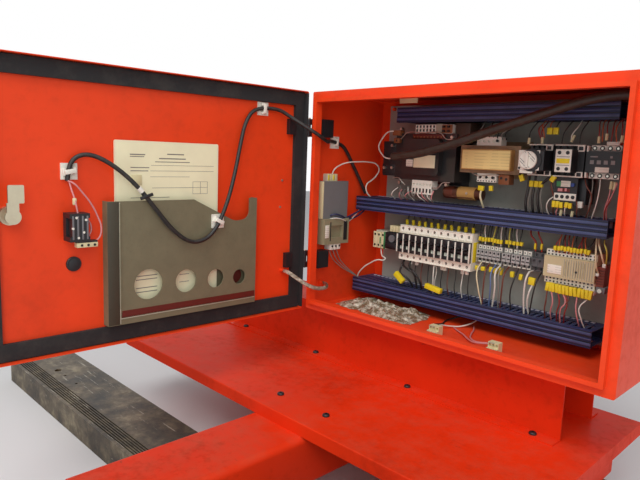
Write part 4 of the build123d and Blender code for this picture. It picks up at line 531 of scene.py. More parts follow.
class Shape:
    """A mesh being built in millimetres, in the cabinet's frame or the shut door's."""

    def __init__(self):
        self.mesh = bmesh.new()

    def block(self, low, high, edge=0.0, turn=Matrix.Identity(4)):
        """A block between two corners, with its edges rounded. turn is a matrix about its middle."""
        low, high = Vector(low), Vector(high)
        size = Matrix.Diagonal((*(high - low), 1))
        matrix = Matrix.Translation((low + high) / 2) @ turn @ size
        verts = bmesh.ops.create_cube(self.mesh, size=1.0, matrix=matrix)["verts"]
        if edge:
            edges = list({link for vert in verts for link in vert.link_edges})
            bmesh.ops.bevel(self.mesh, geom=edges, offset=edge, segments=2, profile=0.5, affect="EDGES")
        return self

    def rod(self, start, end, radius, sides=20):
        """A round bar from one point to another."""
        start, end = Vector(start), Vector(end)
        along = end - start
        turn = along.to_track_quat("Z", "Y").to_matrix().to_4x4()
        bmesh.ops.create_cone(
            self.mesh, cap_ends=True, segments=sides, radius1=radius, radius2=radius, depth=along.length,
            matrix=Matrix.Translation((start + end) / 2) @ turn,
        )
        return self

    def skin(self, rings):
        """A closed form over rings of points, capped at both ends."""
        rings = [[self.mesh.verts.new(point) for point in ring] for ring in rings]
        for first, second in zip(rings, rings[1:]):
            for i, vert in enumerate(first):
                j = (i + 1) % len(first)
                self.mesh.faces.new((vert, first[j], second[j], second[i]))
        self.mesh.faces.new(list(reversed(rings[0])))
        self.mesh.faces.new(rings[-1])
        return self

    def turned(self, centre, axis, profile, sides=28):
        """A turned form: profile is (distance along the axis, radius) from one end to the other."""
        centre, quat = Vector(centre), Vector(axis).to_track_quat("Z", "Y")
        angles = [2 * pi * i / sides for i in range(sides)]
        return self.skin([
            [centre + quat @ Vector((radius * cos(angle), radius * sin(angle), along)) for angle in angles]
            for along, radius in profile
        ])

    def tube(self, path, radius, sides=10, flat=1.0):
        """A round or flattened tube along a list of points."""
        points = [Vector(point) for point in path]
        angles = [2 * pi * i / sides for i in range(sides)]
        rings = []
        side = None
        for i, point in enumerate(points):
            ahead = (points[min(i + 1, len(points) - 1)] - points[max(i - 1, 0)]).normalized()
            if side is None:
                side = ahead.orthogonal().normalized()
            side = (side - ahead * side.dot(ahead)).normalized()
            other = ahead.cross(side) * flat
            rings.append([point + (side * cos(angle) + other * sin(angle)) * radius for angle in angles])
        return self.skin(rings)

    def skinned(self, name, finish, place=Matrix.Identity(4)):
        """The smooth mesh, moved to its place, with its finish."""
        bmesh.ops.recalc_face_normals(self.mesh, faces=self.mesh.faces)
        self.mesh.transform(place)
        data = bpy.data.meshes.new(name)
        self.mesh.to_mesh(data)
        self.mesh.free()
        data.shade_smooth()
        data.materials.append(finish_named(finish))
        return data

    def done(self, name, finish, body="machine_frame", place=CABINET):
        """The finished piece, with sharp edges kept, riding on its body."""
        data = self.skinned(name, finish, place)
        data.set_sharp_from_angle(angle=radians(SHARP_ANGLE))
        return placed(bpy.data.objects.new(name, data), body)


def placed(piece, body):
    """Puts a piece in the scene, riding on its body."""
    bpy.context.scene.collection.objects.link(piece)
    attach(piece, body)
    return piece


def blocks(name, finish, boxes, edge=0.0, body="machine_frame", place=CABINET):
    """Small blocks as one piece, each (x0, x1, y0, y1, z0, z1), none rounded by more than it can take."""
    shape = Shape()
    for x0, x1, y0, y1, z0, z1 in boxes:
        thinnest = min(x1 - x0, y1 - y0, z1 - z0)
        shape.block((x0, y0, z0), (x1, y1, z1), min(edge, thinnest * MOST_ROUNDED))
    return shape.done(name, finish, body, place)


def discs(name, finish, centres, radius, front, depth, body="machine_frame", place=CABINET, sides=14):
    """Short rods that point at the viewer, as one piece: screw heads, nuts, and black discs of painted shade
    in holes.
    """
    shape = Shape()
    for x, z in centres:
        shape.rod((x, front, z), (x, front + depth, z), radius, sides)
    return shape.done(name, finish, body, place)


def markers(name, finish, tags, body="machine_frame", place=CABINET):
    """Wire markers as one piece: each has a centre, a size and its tilt in degrees."""
    shape = Shape()
    for centre, size, tilt in tags:
        half = Vector(size) / 2
        turn = Matrix.Rotation(radians(tilt), 4, "Y")
        shape.block(Vector(centre) - half, Vector(centre) + half, 0.8, turn)
    return shape.done(name, finish, body, place)


def new_curve(name, radius, roundness, steps):
    """An empty curve with a round section and closed ends."""
    curve = bpy.data.curves.new(name, "CURVE")
    curve.dimensions = "3D"
    curve.bevel_depth = radius
    curve.bevel_resolution = roundness
    curve.resolution_u = steps
    curve.use_fill_caps = True
    return curve


def wires(name, finish, runs, radius, body="machine_frame", place=CABINET):
    """Round wires through the points given, all of one colour, as one curve with a spline each."""
    curve = new_curve(name, radius * MM, 2, 6)
    for run in runs:
        spline = curve.splines.new("BEZIER")
        spline.bezier_points.add(len(run) - 1)
        for knot, point in zip(spline.bezier_points, run):
            knot.co = place @ Vector(point)
            knot.handle_left_type = "AUTO"
            knot.handle_right_type = "AUTO"
    curve.materials.append(finish_named(finish))
    return placed(bpy.data.objects.new(name, curve), body)


def coloured_wires(name, runs, radius):
    """Wires of several colours, with one piece for each colour."""
    for colour, paths in runs.items():
        wires(name + "_" + colour, "wire_" + colour, paths, radius)


def route_curve(name, route, radius=0.0):
    """A smooth curve with the route's points as its control points."""
    curve = new_curve(name, radius, 4, 12)
    spline = curve.splines.new("NURBS")
    spline.points.add(len(route) - 1)
    for knot, point in zip(spline.points, route):
        knot.co = (*point, 1.0)
    spline.order_u = 3
    spline.use_endpoint_u = True
    return bpy.data.objects.new(name, curve)


def route_points(route):
    """Points read from the route's smooth curve."""
    line = route_curve("route_line", route)
    mesh = bpy.data.meshes.new_from_object(line)
    points = [vert.co.copy() for vert in mesh.vertices]
    bpy.data.meshes.remove(mesh)
    bpy.data.objects.remove(line)
    return points


def route_length(points):
    return sum((b - a).length for a, b in zip(points, points[1:]))


# The cables' routes, in metres in the row frame, or on the shut door where it says so


def on_door(*points):
    return [DOOR @ Vector(point) for point in points]


def in_cabinet(*points):
    return [CABINET @ Vector(point) for point in points]


DOOR_CABLE_Y = SKIN + 7.3
POCKET_CABLE_Y = SKIN + 28.0
WALL_CABLE_X = 8.8
DOOR_ROUTE = on_door(
    (533, DOOR_CABLE_Y, 300), (531, DOOR_CABLE_Y, 322), (520, DOOR_CABLE_Y + 1, 341),
    (498, DOOR_CABLE_Y + 5, 347), (470, POCKET_CABLE_Y - 10, 336), (440, POCKET_CABLE_Y - 4, 314),
    (410, POCKET_CABLE_Y - 0.5, 285),
    (379, POCKET_CABLE_Y, 247), (344, POCKET_CABLE_Y + 0.5, 205), (306, POCKET_CABLE_Y, 179),
    (270, POCKET_CABLE_Y + 0.5, 184), (246, POCKET_CABLE_Y, 207), (231, POCKET_CABLE_Y, 235),
    (214, POCKET_CABLE_Y - 3, 272), (196, -2, 322), (181, -8, 374), (166, DOOR_CABLE_Y + 1, 424),
    (139, DOOR_CABLE_Y, 455), (98, DOOR_CABLE_Y, 455),
)
HINGE_ROUTE = on_door(
    (98, DOOR_CABLE_Y, 455), (74, DOOR_CABLE_Y, 455), (50, DOOR_CABLE_Y + 10, 440),
) + in_cabinet(
    (20, -38, 420), (37, -15, 404), (36, 8, 393), (WALL_CABLE_X + 14, 32, 389), (WALL_CABLE_X, 50, 394),
    (WALL_CABLE_X, 72, 390),
)
WALL_ROUTE = in_cabinet(
    (WALL_CABLE_X, 72, 390), (WALL_CABLE_X, 94, 386), (WALL_CABLE_X + 1, 114, 364),
    (WALL_CABLE_X + 3, 136, 332), (WALL_CABLE_X + 6, 158, 299), (WALL_CABLE_X + 9, 175, 270),
)
SUPPLY_ROUTE = in_cabinet(
    (684.5, 100, 473), (635, 100, 478), (578, 99, 472), (520, 97, 455), (462, 95, 437), (400, 95, 419),
    (336, 96, 399), (270, 98, 380), (208, 102, 367), (152, 108, 362),
)
STRAP_ROUTE = on_door((52, SKIN + 10, 94), (52, SKIN + 25.5, 94)) + in_cabinet(
    (16, -55, 84), (27, -40, 71), (34, -20, 59), (38, -2, 53), (38.5, 17, 51), (38, 32, 53), (26.95, 44, 56),
    (10.75, 44, 56),
)


# Sizes, lights and colours that a user would change


class CabinetStage(bpy.types.PropertyGroup):
    floor_size: bpy.props.FloatProperty(
        name="Floor size", description="Width of the pale floor", default=14.0, min=4.0, unit="LENGTH"
    )
    key_power: bpy.props.FloatProperty(
        name="Key light", description="Power of the large soft key light", default=70.0, min=0.0, unit="POWER"
    )
    fill_power: bpy.props.FloatProperty(
        name="Fill light", description="Power of the fill light beside the camera",
        default=22.0, min=0.0, unit="POWER"
    )
    world_light: bpy.props.FloatProperty(
        name="World light", description="Strength of the even light from all round", default=0.34, min=0.0
    )
    lens: bpy.props.FloatProperty(
        name="Lens", description="Focal length of the camera on a 36 mm sensor",
        default=33.19, min=10.0, unit="CAMERA"
    )


class CabinetWiring(bpy.types.PropertyGroup):
    wire_radius: bpy.props.FloatProperty(
        name="Wire radius", description="Radius of the thin device wires in millimetres", default=1.1, min=0.4
    )
    jacket_radius: bpy.props.FloatProperty(
        name="Door cable radius", description="Radius of the cable from the door in millimetres",
        default=4.0, min=1.0
    )
    supply_radius: bpy.props.FloatProperty(
        name="Supply cable radius", description="Radius of the supply cable in millimetres",
        default=9.0, min=2.0
    )


class CabinetColours(bpy.types.PropertyGroup):
    cabinet_enamel: bpy.props.FloatVectorProperty(
        name="Cabinet enamel", description="Enamel of the cabinet and its door",
        default=ORANGE, size=4, min=0.0, max=1.0, subtype="COLOR"
    )
    frame_enamel: bpy.props.FloatVectorProperty(
        name="Frame enamel", description="Enamel of the console, the deck and the beams",
        default=DEEP_ORANGE, size=4, min=0.0, max=1.0, subtype="COLOR"
    )


# Operators


class CABINET_OT_stage(bpy.types.Operator):
    """Lay the floor, hang the lights and set up the camera"""

    bl_idname = "cabinet.stage"
    bl_label = "Stage"

    def execute(self, context):
        sizes = context.scene.cabinet_stage
        self.floor(sizes)
        self.lights(context, sizes)
        self.camera(context, sizes)
        context.scene.view_settings.view_transform = "Standard"
        return {"FINISHED"}

    def floor(self, sizes):
        mesh = bpy.data.meshes.new("floor")
        half = sizes.floor_size / 2
        corners = [(x * half, y * half, FLOOR_LEVEL) for x, y in ((-1, -1), (1, -1), (1, 1), (-1, 1))]
        mesh.from_pydata(corners, [], [(0, 1, 2, 3)])
        pale = Finish("floor_pale")
        pale.set(base_color=(0.87, 0.87, 0.865, 1), roughness=0.85)
        mesh.materials.append(pale.material)
        floor = bpy.data.objects.new("floor", mesh)
        bpy.context.scene.collection.objects.link(floor)

    def lights(self, context, sizes):
        context.scene.world = Backdrop("studio", sizes.world_light).world
        middle = CABINET @ Vector((250, 0, 200))
        self.lamp("key_light", Vector((0.9, -1.7, 3.3)), middle, 2.0, sizes.key_power)
        self.lamp("fill_light", Vector((2.3, -1.5, 1.6)), middle, 1.6, sizes.fill_power)

    def lamp(self, name, where, target, size, power):
        light = bpy.data.lights.new(name, "AREA")
        light.size = size
        light.energy = power
        lamp = bpy.data.objects.new(name, light)
        lamp.location = where
        lamp.rotation_euler = (target - where).to_track_quat("-Z", "Y").to_euler()
        bpy.context.scene.collection.objects.link(lamp)

    def camera(self, context, sizes):
        """The camera stands where the photograph's did, turned to the left and tipped down."""
        place = CABINET @ Vector((989.0, -944.9, 359.3))
        yaw, pitch, roll = radians(45.147), radians(-8.173), radians(2.197)
        ahead = Vector((-sin(yaw) * cos(pitch), cos(yaw) * cos(pitch), sin(pitch)))
        level = Vector((cos(yaw), sin(yaw), 0))
        upward = level.cross(ahead)
        right = level * cos(roll) + upward * sin(roll)
        up = upward * cos(roll) - level * sin(roll)
        data = bpy.data.cameras.new("camera")
        data.lens = sizes.lens
        data.sensor_width = 36.0
        data.sensor_fit = "HORIZONTAL"
        data.clip_start = 0.02
        camera = bpy.data.objects.new("camera", data)
        axes = Matrix((right, up, -ahead)).transposed().to_4x4()
        camera.matrix_world = Matrix.Translation(place) @ axes
        context.scene.collection.objects.link(camera)
        context.scene.camera = camera


class CABINET_OT_finishes(bpy.types.Operator):
    """Give every modelled node its own finish"""

    bl_idname = "cabinet.finishes"
    bl_label = "Finishes"

    def execute(self, context):
        for node, piece in frame["nodes"].items():
            key = FINISH_OF_NODE.get(node, "toggle")
            material = finish_named(key)
            if not piece.material_slots:
                piece.data.materials.append(material)
            for slot in piece.material_slots:
                slot.material = material
        return {"FINISHED"}


class CABINET_OT_cables(bpy.types.Operator):
    """Run the cables from the door into the cabinet, the supply cable and the earth strap"""

    bl_idname = "cabinet.cables"
    bl_label = "Cables"

    def execute(self, context):
        sizes = context.scene.cabinet_wiring
        thin = sizes.jacket_radius * MM
        self.cable("door_cable_run", DOOR_ROUTE, thin, "jacket", "door", "door_cable", "limp")
        self.cable("wall_cable_run", WALL_ROUTE, thin, "jacket", "machine_frame", "wall_cable", "limp")
        self.cable("supply_cable_run", SUPPLY_ROUTE, sizes.supply_radius * MM, "brown_jacket",
            "machine_frame", "supply_cable", "medium")
        self.bridge("hinge_cable_run", HINGE_ROUTE, thin, 1.0, "jacket", "hinge_cable")
        self.bridge("earth_strap_run", STRAP_ROUTE, STRAP_HALF_WIDTH * MM, STRAP_FLATNESS, "braid",
            "earth_strap")
        return {"FINISHED"}

    def cable(self, name, route, radius, finish, body, node, stiffness):
        piece = route_curve(name, route, radius)
        piece.data.materials.append(finish_named(finish))
        placed(piece, body)
        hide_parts(node)
        length = route_length(route_points(route))

    def bridge(self, name, route, radius, flat, finish, node):
        """A cable that crosses the hinge, as a mesh that runs between the door and the cabinet."""
        points = route_points(route)
        piece = bpy.data.objects.new(name, Shape().tube(points, radius, 12, flat).skinned(name, finish))
        bpy.context.scene.collection.objects.link(piece)
        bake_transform(piece)
        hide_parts(node)


class CABINET_OT_ducts(bpy.types.Operator):
    """Draw painted highlight along the duct covers' ridges, painted shade in their grooves, and painted
    highlight on the tops of their comb walls
    """

    bl_idname = "cabinet.ducts"
    bl_label = "Ducts"

    def execute(self, context):
        highlight_strips, groove_shade_boxes, comb_highlight_boxes = [], [], []
        for left, right, low in ((125, 610, 442), (12.5, 610, 232), (12.5, 602, 28)):
            # Lighter strips along the covers' ridges: painted highlight
            highlight_strips += [(left, right, 148.3, 149.4, low + 22.5, low + 27.5),
                (left, right, 148.3, 149.4, low + 3, low + 8)]
            highlight_strips.append((left, right, 148.6, 149.4, low + 13.8, low + 16.2))
            # Black lines in the covers' grooves: painted shade
            groove_shade_boxes += [(left, right, 148.5, 150.2, low + z, low + z + 1.2) for z in (0.6, 9.4, 20, 28.6)]
            # Pale blocks on the comb walls' tops: painted highlight
            if low < 300:
                steps = int((right - left - 20) / 12.5)
                for step in range(steps):
                    x = left + 12 + step * 12.5
                    comb_highlight_boxes.append((x, x + 7.4, 152.5, 158.5, low + 29.6, low + 30.8))
                    comb_highlight_boxes.append((x, x + 7.4, 215, 222, low + 29.2, low + 31))
                    comb_highlight_boxes.append((x + 1, x + 6.4, 220, 221.5, low + 12, low + 30))
        blocks("duct_bands", "duct_band", highlight_strips, 0.3)
        blocks("duct_grooves", "black", groove_shade_boxes)
        blocks("duct_tips", "duct_tip", comb_highlight_boxes, 0.3)
        return {"FINISHED"}


class CABINET_OT_breakers(bpy.types.Operator):
    """Dress the row of breakers: black covers, screws, markers and their wires"""

    bl_idname = "cabinet.breakers"
    bl_label = "Breakers"

    def execute(self, context):
        covers = []
        for x in BREAKERS:
            covers += [(x - 7.4, x + 7.4, 157.7, 159.2, 141.8, 149.5),
                (x - 7.4, x + 7.4, 157.7, 159.2, 172.8, 186.2),
                (x - 7.4, x - 6.3, 157.7, 159.2, 149.5, 172.8),
                (x + 6.3, x + 7.4, 157.7, 159.2, 149.5, 172.8)]
        blocks("breaker_covers", "black", covers, 0.3)
        ribs = [BREAKERS_LEFT + i * BREAKER_PITCH for i in range(12)]
        blocks("breaker_ribs", "white", [(x - 1.3, x + 1.3, 155.6, 159.4, 141.6, 184) for x in ribs], 0.5)
        screws = [(x, z) for x in BREAKERS for z in (197.5, 131.5)]
        # Black rings round the screws: painted shade in their recesses
        discs("breaker_screw_wells", "black", screws, 2.7, 166.2, 1.0)
        discs("breaker_screws", "zinc", screws, 1.7, 165.9, 1.0)
        lips = [(x - 7.6, x + 7.6, 164.9, 168, z - 0.7, z + 0.7) for x in BREAKERS
            for z in (189, 204, 124, 139.5)]
        blocks("breaker_lips", "white", lips, 0.3)
        tags = [((x + about(1), 181, 211), (6, 5, 12), about(8)) for x in BREAKERS]
        markers("breaker_markers", "yellow", tags)
        self.wiring(context.scene.cabinet_wiring.wire_radius)
        return {"FINISHED"}

    def wiring(self, radius):
        above = [[(x, 181, 204), (x + 1, 182, 218), (x + about(4), 186, 236)] for x in BREAKERS]
        wires("breaker_wires_above", "wire_black", above, radius * 1.5)
        fan = {"black": [], "white": [], "brown": []}
        for index, x in enumerate(BREAKERS[2:]):
            drift = about(5)
            colour = ("black", "brown", "black", "white")[index % 4]
            fan[colour].append([(x, 180, 124), (x + drift, 181, 104), (x + drift * 0.4, 178, 80),
                (x, 186, 56)])
        coloured_wires("breaker_wires_below", fan, radius)
        heavy = [[(148, 180, 124), (150, 172, 112), (166, 164, 104), (184, 166, 96), (190, 178, 56)],
            [(166, 180, 124), (170, 170, 108), (188, 164, 98), (199, 168, 84), (201, 182, 56)],
            [(148, 180, 124), (146, 170, 104), (152, 160, 92), (172, 164, 80), (178, 180, 56)]]
        wires("breaker_supply_wires", "wire_black", heavy, 2.4)
        wires("breaker_white_wire", "wire_white", [[(237, 172, 124), (237.5, 170, 96), (238, 174, 56)]],
            1.5)
        tags = [((x, 180, 117), (8, 5, 9), turn) for x,
            turn in ((166, 8), (183, -6), (254, 6), (261, -8), (307, 4), (318, -4))]
        markers("breaker_markers_below", "white", tags)
        big = [((156, 152, 82), (30, 10, 12), 38), ((254, 150, 74), (42, 11, 11), 9)]
        markers("duct_labels", "yellow", big)
        blocks("busbar_end", "cream", [(104 + i * 8.4, 111.6 + i * 8.4, 172, 204, 184, 199)
            for i in range(4)], 0.8)


class CABINET_OT_terminals(bpy.types.Operator):
    """Dress the terminal row beside the breakers, with its markers and wires"""

    bl_idname = "cabinet.terminals"
    bl_label = "Terminals"

    def execute(self, context):
        singles = [338 + (i + 0.5) * 9.3 for i in range(6)]
        pairs = [397.5 + step + half * 10 + 4.7 for step in (0, 21, 42) for half in (0, 1)]
        wide = [467, 479]
        narrow = singles + pairs
        clips = [(x - 3.4, x + 3.4, 185.6, 189, 174.5, 182.6) for x in narrow]
        clips += [(x - 3.4, x + 3.4, 185.6, 189, 145.6, 148.4) for x in narrow]
        blocks("terminal_clips", "white", clips, 0.4)
        # Black discs in the holes, and black lines in the slots and between the terminals: painted shade
        discs("terminal_wells_high", "black", [(x, 169) for x in narrow] + [(x, 168) for x in wide], 2.3,
            178.0, 1.2)
        discs("terminal_wells_low", "black", [(x, 151.5) for x in narrow], 2.3, 186.6, 2)
        discs("clip_wells", "black", [(x, 178.6) for x in narrow], 1.5, 185.2, 1)
        lines = [(x - 3.2, x + 3.2, 177.9, 179, 160.3, 162.4) for x in narrow]
        lines += [(x + 4.3, x + 5.0, 178.0, 180, 156, 172) for x in narrow]
        blocks("terminal_slots", "black", lines)
        blocks("terminal_end_plates", "beige",
            [(336, 338, 181, 215, 144, 184), (485, 489, 184, 216, 144, 184)], 0.6)
        self.left_end()
        self.tags()
        self.wiring(context.scene.cabinet_wiring.wire_radius)
        return {"FINISHED"}

    def left_end(self):
        """The earth terminals and the fuse base, left of the breakers."""
        faces = [(52.6 + i * 12, 63.4 + i * 12, 173.6, 175.4, 139, 179) for i in range(3)]
        blocks("earth_faces", "cream", faces, 0.5)
        blocks("earth_stripe", "green",
            [(85, 88.4, 173.2, 176, 138, 180), (72.5, 75.5, 173.3, 175, 150, 166)], 0.3)
        # Black discs in the terminal holes: painted shade
        discs("earth_wells", "black", [(58 + i * 12, z) for i in range(3) for z in (172, 146)], 2.8, 173.1,
            1.2)
        blocks("fuse_face", "black",
            [(92.3, 133.7, 171.6, 173.6, 141.4, 180.6), (97, 129, 165, 172, 146, 158)], 0.8)
        discs("fuse_cap", "module", [(113, 167)], 9, 168.5, 4)
        blocks("earth_terminal", "yellow", [(326.5, 334, 172.5, 215, 142, 186)], 0.8)
        # Black discs in the terminal holes: painted shade
        discs("earth_terminal_wells", "black", [(330.2, 175), (330.2, 163), (330.2, 151)], 2.2, 172.1, 1.2)

    def tags(self):
        row = [((x, 180, 196 + about(1)), (5.4, 6, 9), about(10)) for x in range(344, 400, 7)]
        row += [((x, 181, 196 + about(1)), (6, 6, 8), about(12)) for x in range(405, 438, 8)]
        row += [((466, 182, 196), (4, 5, 12), 0), ((479, 182, 197), (4, 5, 12), 3)]
        markers("terminal_markers_above", "yellow", row)
        low = [((342, 178, 133), (7, 6, 9), 4), ((357, 178, 133), (9, 6, 9), -6),
            ((376, 178, 134), (8, 6, 11), 5)]
        low += [((386, 178, 133), (8, 6, 11), -5), ((398, 178, 134), (8, 6, 15), 6),
            ((424, 178, 132), (8, 6, 12), -4)]
        low += [((473, 165, 128), (13, 7, 15), 4), ((444, 176, 130), (7, 6, 12), 8)]
        markers("terminal_markers_below", "yellow", low)

    def wiring(self, radius):
        colours = ("black", "green", "white", "black", "black", "yellow")
        above = {colour: [] for colour in colours}
        for index, x in enumerate(range(344, 438, 6)):
            drift = about(3)
            above[colours[index % 6]].append([(x, 181, 186), (x, 180, 200), (x + drift, 180, 216),
                (x + drift, 186, 236)])
        coloured_wires("terminal_wires_above", above, radius * 1.2)
        wires("terminal_supply_wires", "wire_red",
            [[(466, 184, 186), (466, 182, 204), (456, 180, 218), (452, 186, 236)],
            [(479, 184, 186), (479, 182, 204), (472, 180, 220), (466, 186, 236)]], 1.8)
        below = {"cream": [[(351, 180, 146), (351, 164, 129), (359, 160, 93), (365, 170, 56)]],
            "brown": [[(371, 180, 146), (371, 164, 132), (371, 160, 104), (365, 170, 56)],
            [(415, 180, 146), (415, 162, 133), (413, 160, 99), (406, 172, 56)]],
            "blue": [[(385, 180, 146), (385, 162, 130), (387, 160, 103), (380, 172, 56)]],
            "grey": [[(403, 180, 146), (403, 162, 133), (406, 160, 97), (401, 172, 56)]],
            "black": [[(483, 184, 146), (483, 164, 129), (480, 162, 112), (470, 172, 56)],
            [(436, 180, 146), (436, 164, 126), (430, 164, 100), (428, 176, 56)]]}
        coloured_wires("terminal_wires_below", below, radius * 1.3)
        wires("terminal_white_wires", "wire_white",
            [[(395, 180, 146), (395, 162, 134), (397, 160, 101), (388, 172, 56)],
            [(465, 182, 146), (465, 162, 142), (461, 160, 109), (459, 172, 56)],
            [(475, 164, 121), (471, 160, 104), (467, 166, 78), (468, 176, 56)]], 1.9)


class CABINET_OT_controller(bpy.types.Operator):
    """Dress the programmable controller, its coil block and its wires"""

    bl_idname = "cabinet.controller"
    bl_label = "Controller"

    def execute(self, context):
        blocks("controller_strips", "white",
            [(495, 590, 171.8, 173.2, 184.5, 196.4), (495, 590, 171.8, 173.2, 131.6, 143.6),
            (571, 592, 166, 180, 122, 131)], 0.5)
        holes = [(499 + i * 7.2, z) for i in range(13) for z in (193, 187.2, 140.6, 134.6)]
        # Black discs in the terminal holes: painted shade
        discs("controller_wells", "black", holes, 1.7, 171.5, 1)
        blocks("controller_label", "label", [(502, 529, 163.7, 165, 151, 168)], 0.2)
        vents = [(533 + i * 4.4, 534.4 + i * 4.4, 163.9, 165, 147, 182) for i in range(13)]
        blocks("controller_lines", "beige", vents)
        discs("controller_lamp", "black", [(557, 160)], 2.2, 163.4, 2)
        blocks("coil_terminals", "white", [(590, 597, 167, 172, 159, 164), (601, 607, 168, 174, 176, 183)],
            0.5)
        discs("coil_screw", "zinc", [(602, 133)], 4, 164, 5)
        blocks("coil_foot", "module", [(594, 610, 168, 215, 128, 139)], 0.6)
        self.tags()
        self.wiring(context.scene.cabinet_wiring.wire_radius)
        return {"FINISHED"}

    def tags(self):
        high = [((x, 168 + about(2), 201 + about(1)), (5, 7, 9), about(9))
            for x in (513, 519, 525, 531, 538, 544, 550, 556, 562, 569, 575)]
        low = [((x, 165 + about(2), 124 - (x - 500) * 0.02), (6, 8, 17), about(9))
            for x in (505, 511, 517, 524, 531, 538, 545, 552, 559, 566, 574, 581, 588)]
        markers("controller_markers", "yellow", high + low)

    def wiring(self, radius):
        starts = (513, 519, 525, 531, 538, 544, 550, 556, 562, 569, 575)
        kinds = ("red", "orange", "black", "red")
        above = {"red": [], "orange": [], "black": []}
        for index, x in enumerate(starts):
            drift = RANDOM.uniform(-4, 6)
            above[kinds[index % 4]].append([(x, 170, 192), (x, 168, 206), (x + drift, 172, 221),
                (x + drift, 184, 236)])
        coloured_wires("controller_wires_above", above, radius)
        wires("coil_wires", "wire_cream",
            [[(595, 170, 164), (593, 160, 180), (590, 162, 200), (584, 176, 236)],
            [(603, 171, 182), (601, 160, 200), (592, 166, 220), (588, 180, 236)]], 1.7)
        wires("coil_earth_wire", "wire_yellow",
            [[(606, 172, 180), (609, 160, 208), (603, 162, 222), (600, 178, 236)]], 1.3)
        below = {"pink": [[(531, 166, 122), (545, 158, 100), (539, 156, 88), (536, 166, 56)],
            [(563, 166, 116), (566, 158, 92), (571, 160, 70), (571, 172, 54)],
            [(511, 166, 122), (520, 160, 98), (516, 164, 76), (514, 176, 56)]],
            "red": [[(538, 166, 122), (548, 160, 96), (545, 160, 80), (541, 170, 56)],
            [(524, 166, 122), (534, 158, 98), (530, 160, 78), (527, 172, 56)]],
            "brown": [[(545, 166, 120), (549, 160, 104), (540, 158, 92), (532, 168, 56)],
            [(505, 166, 122), (507, 160, 98), (504, 164, 76), (502, 176, 56)]],
            "white": [[(581, 166, 112), (572, 158, 96), (577, 158, 76), (582, 170, 54)]]}
        coloured_wires("controller_wires_below", below, radius * 1.15)


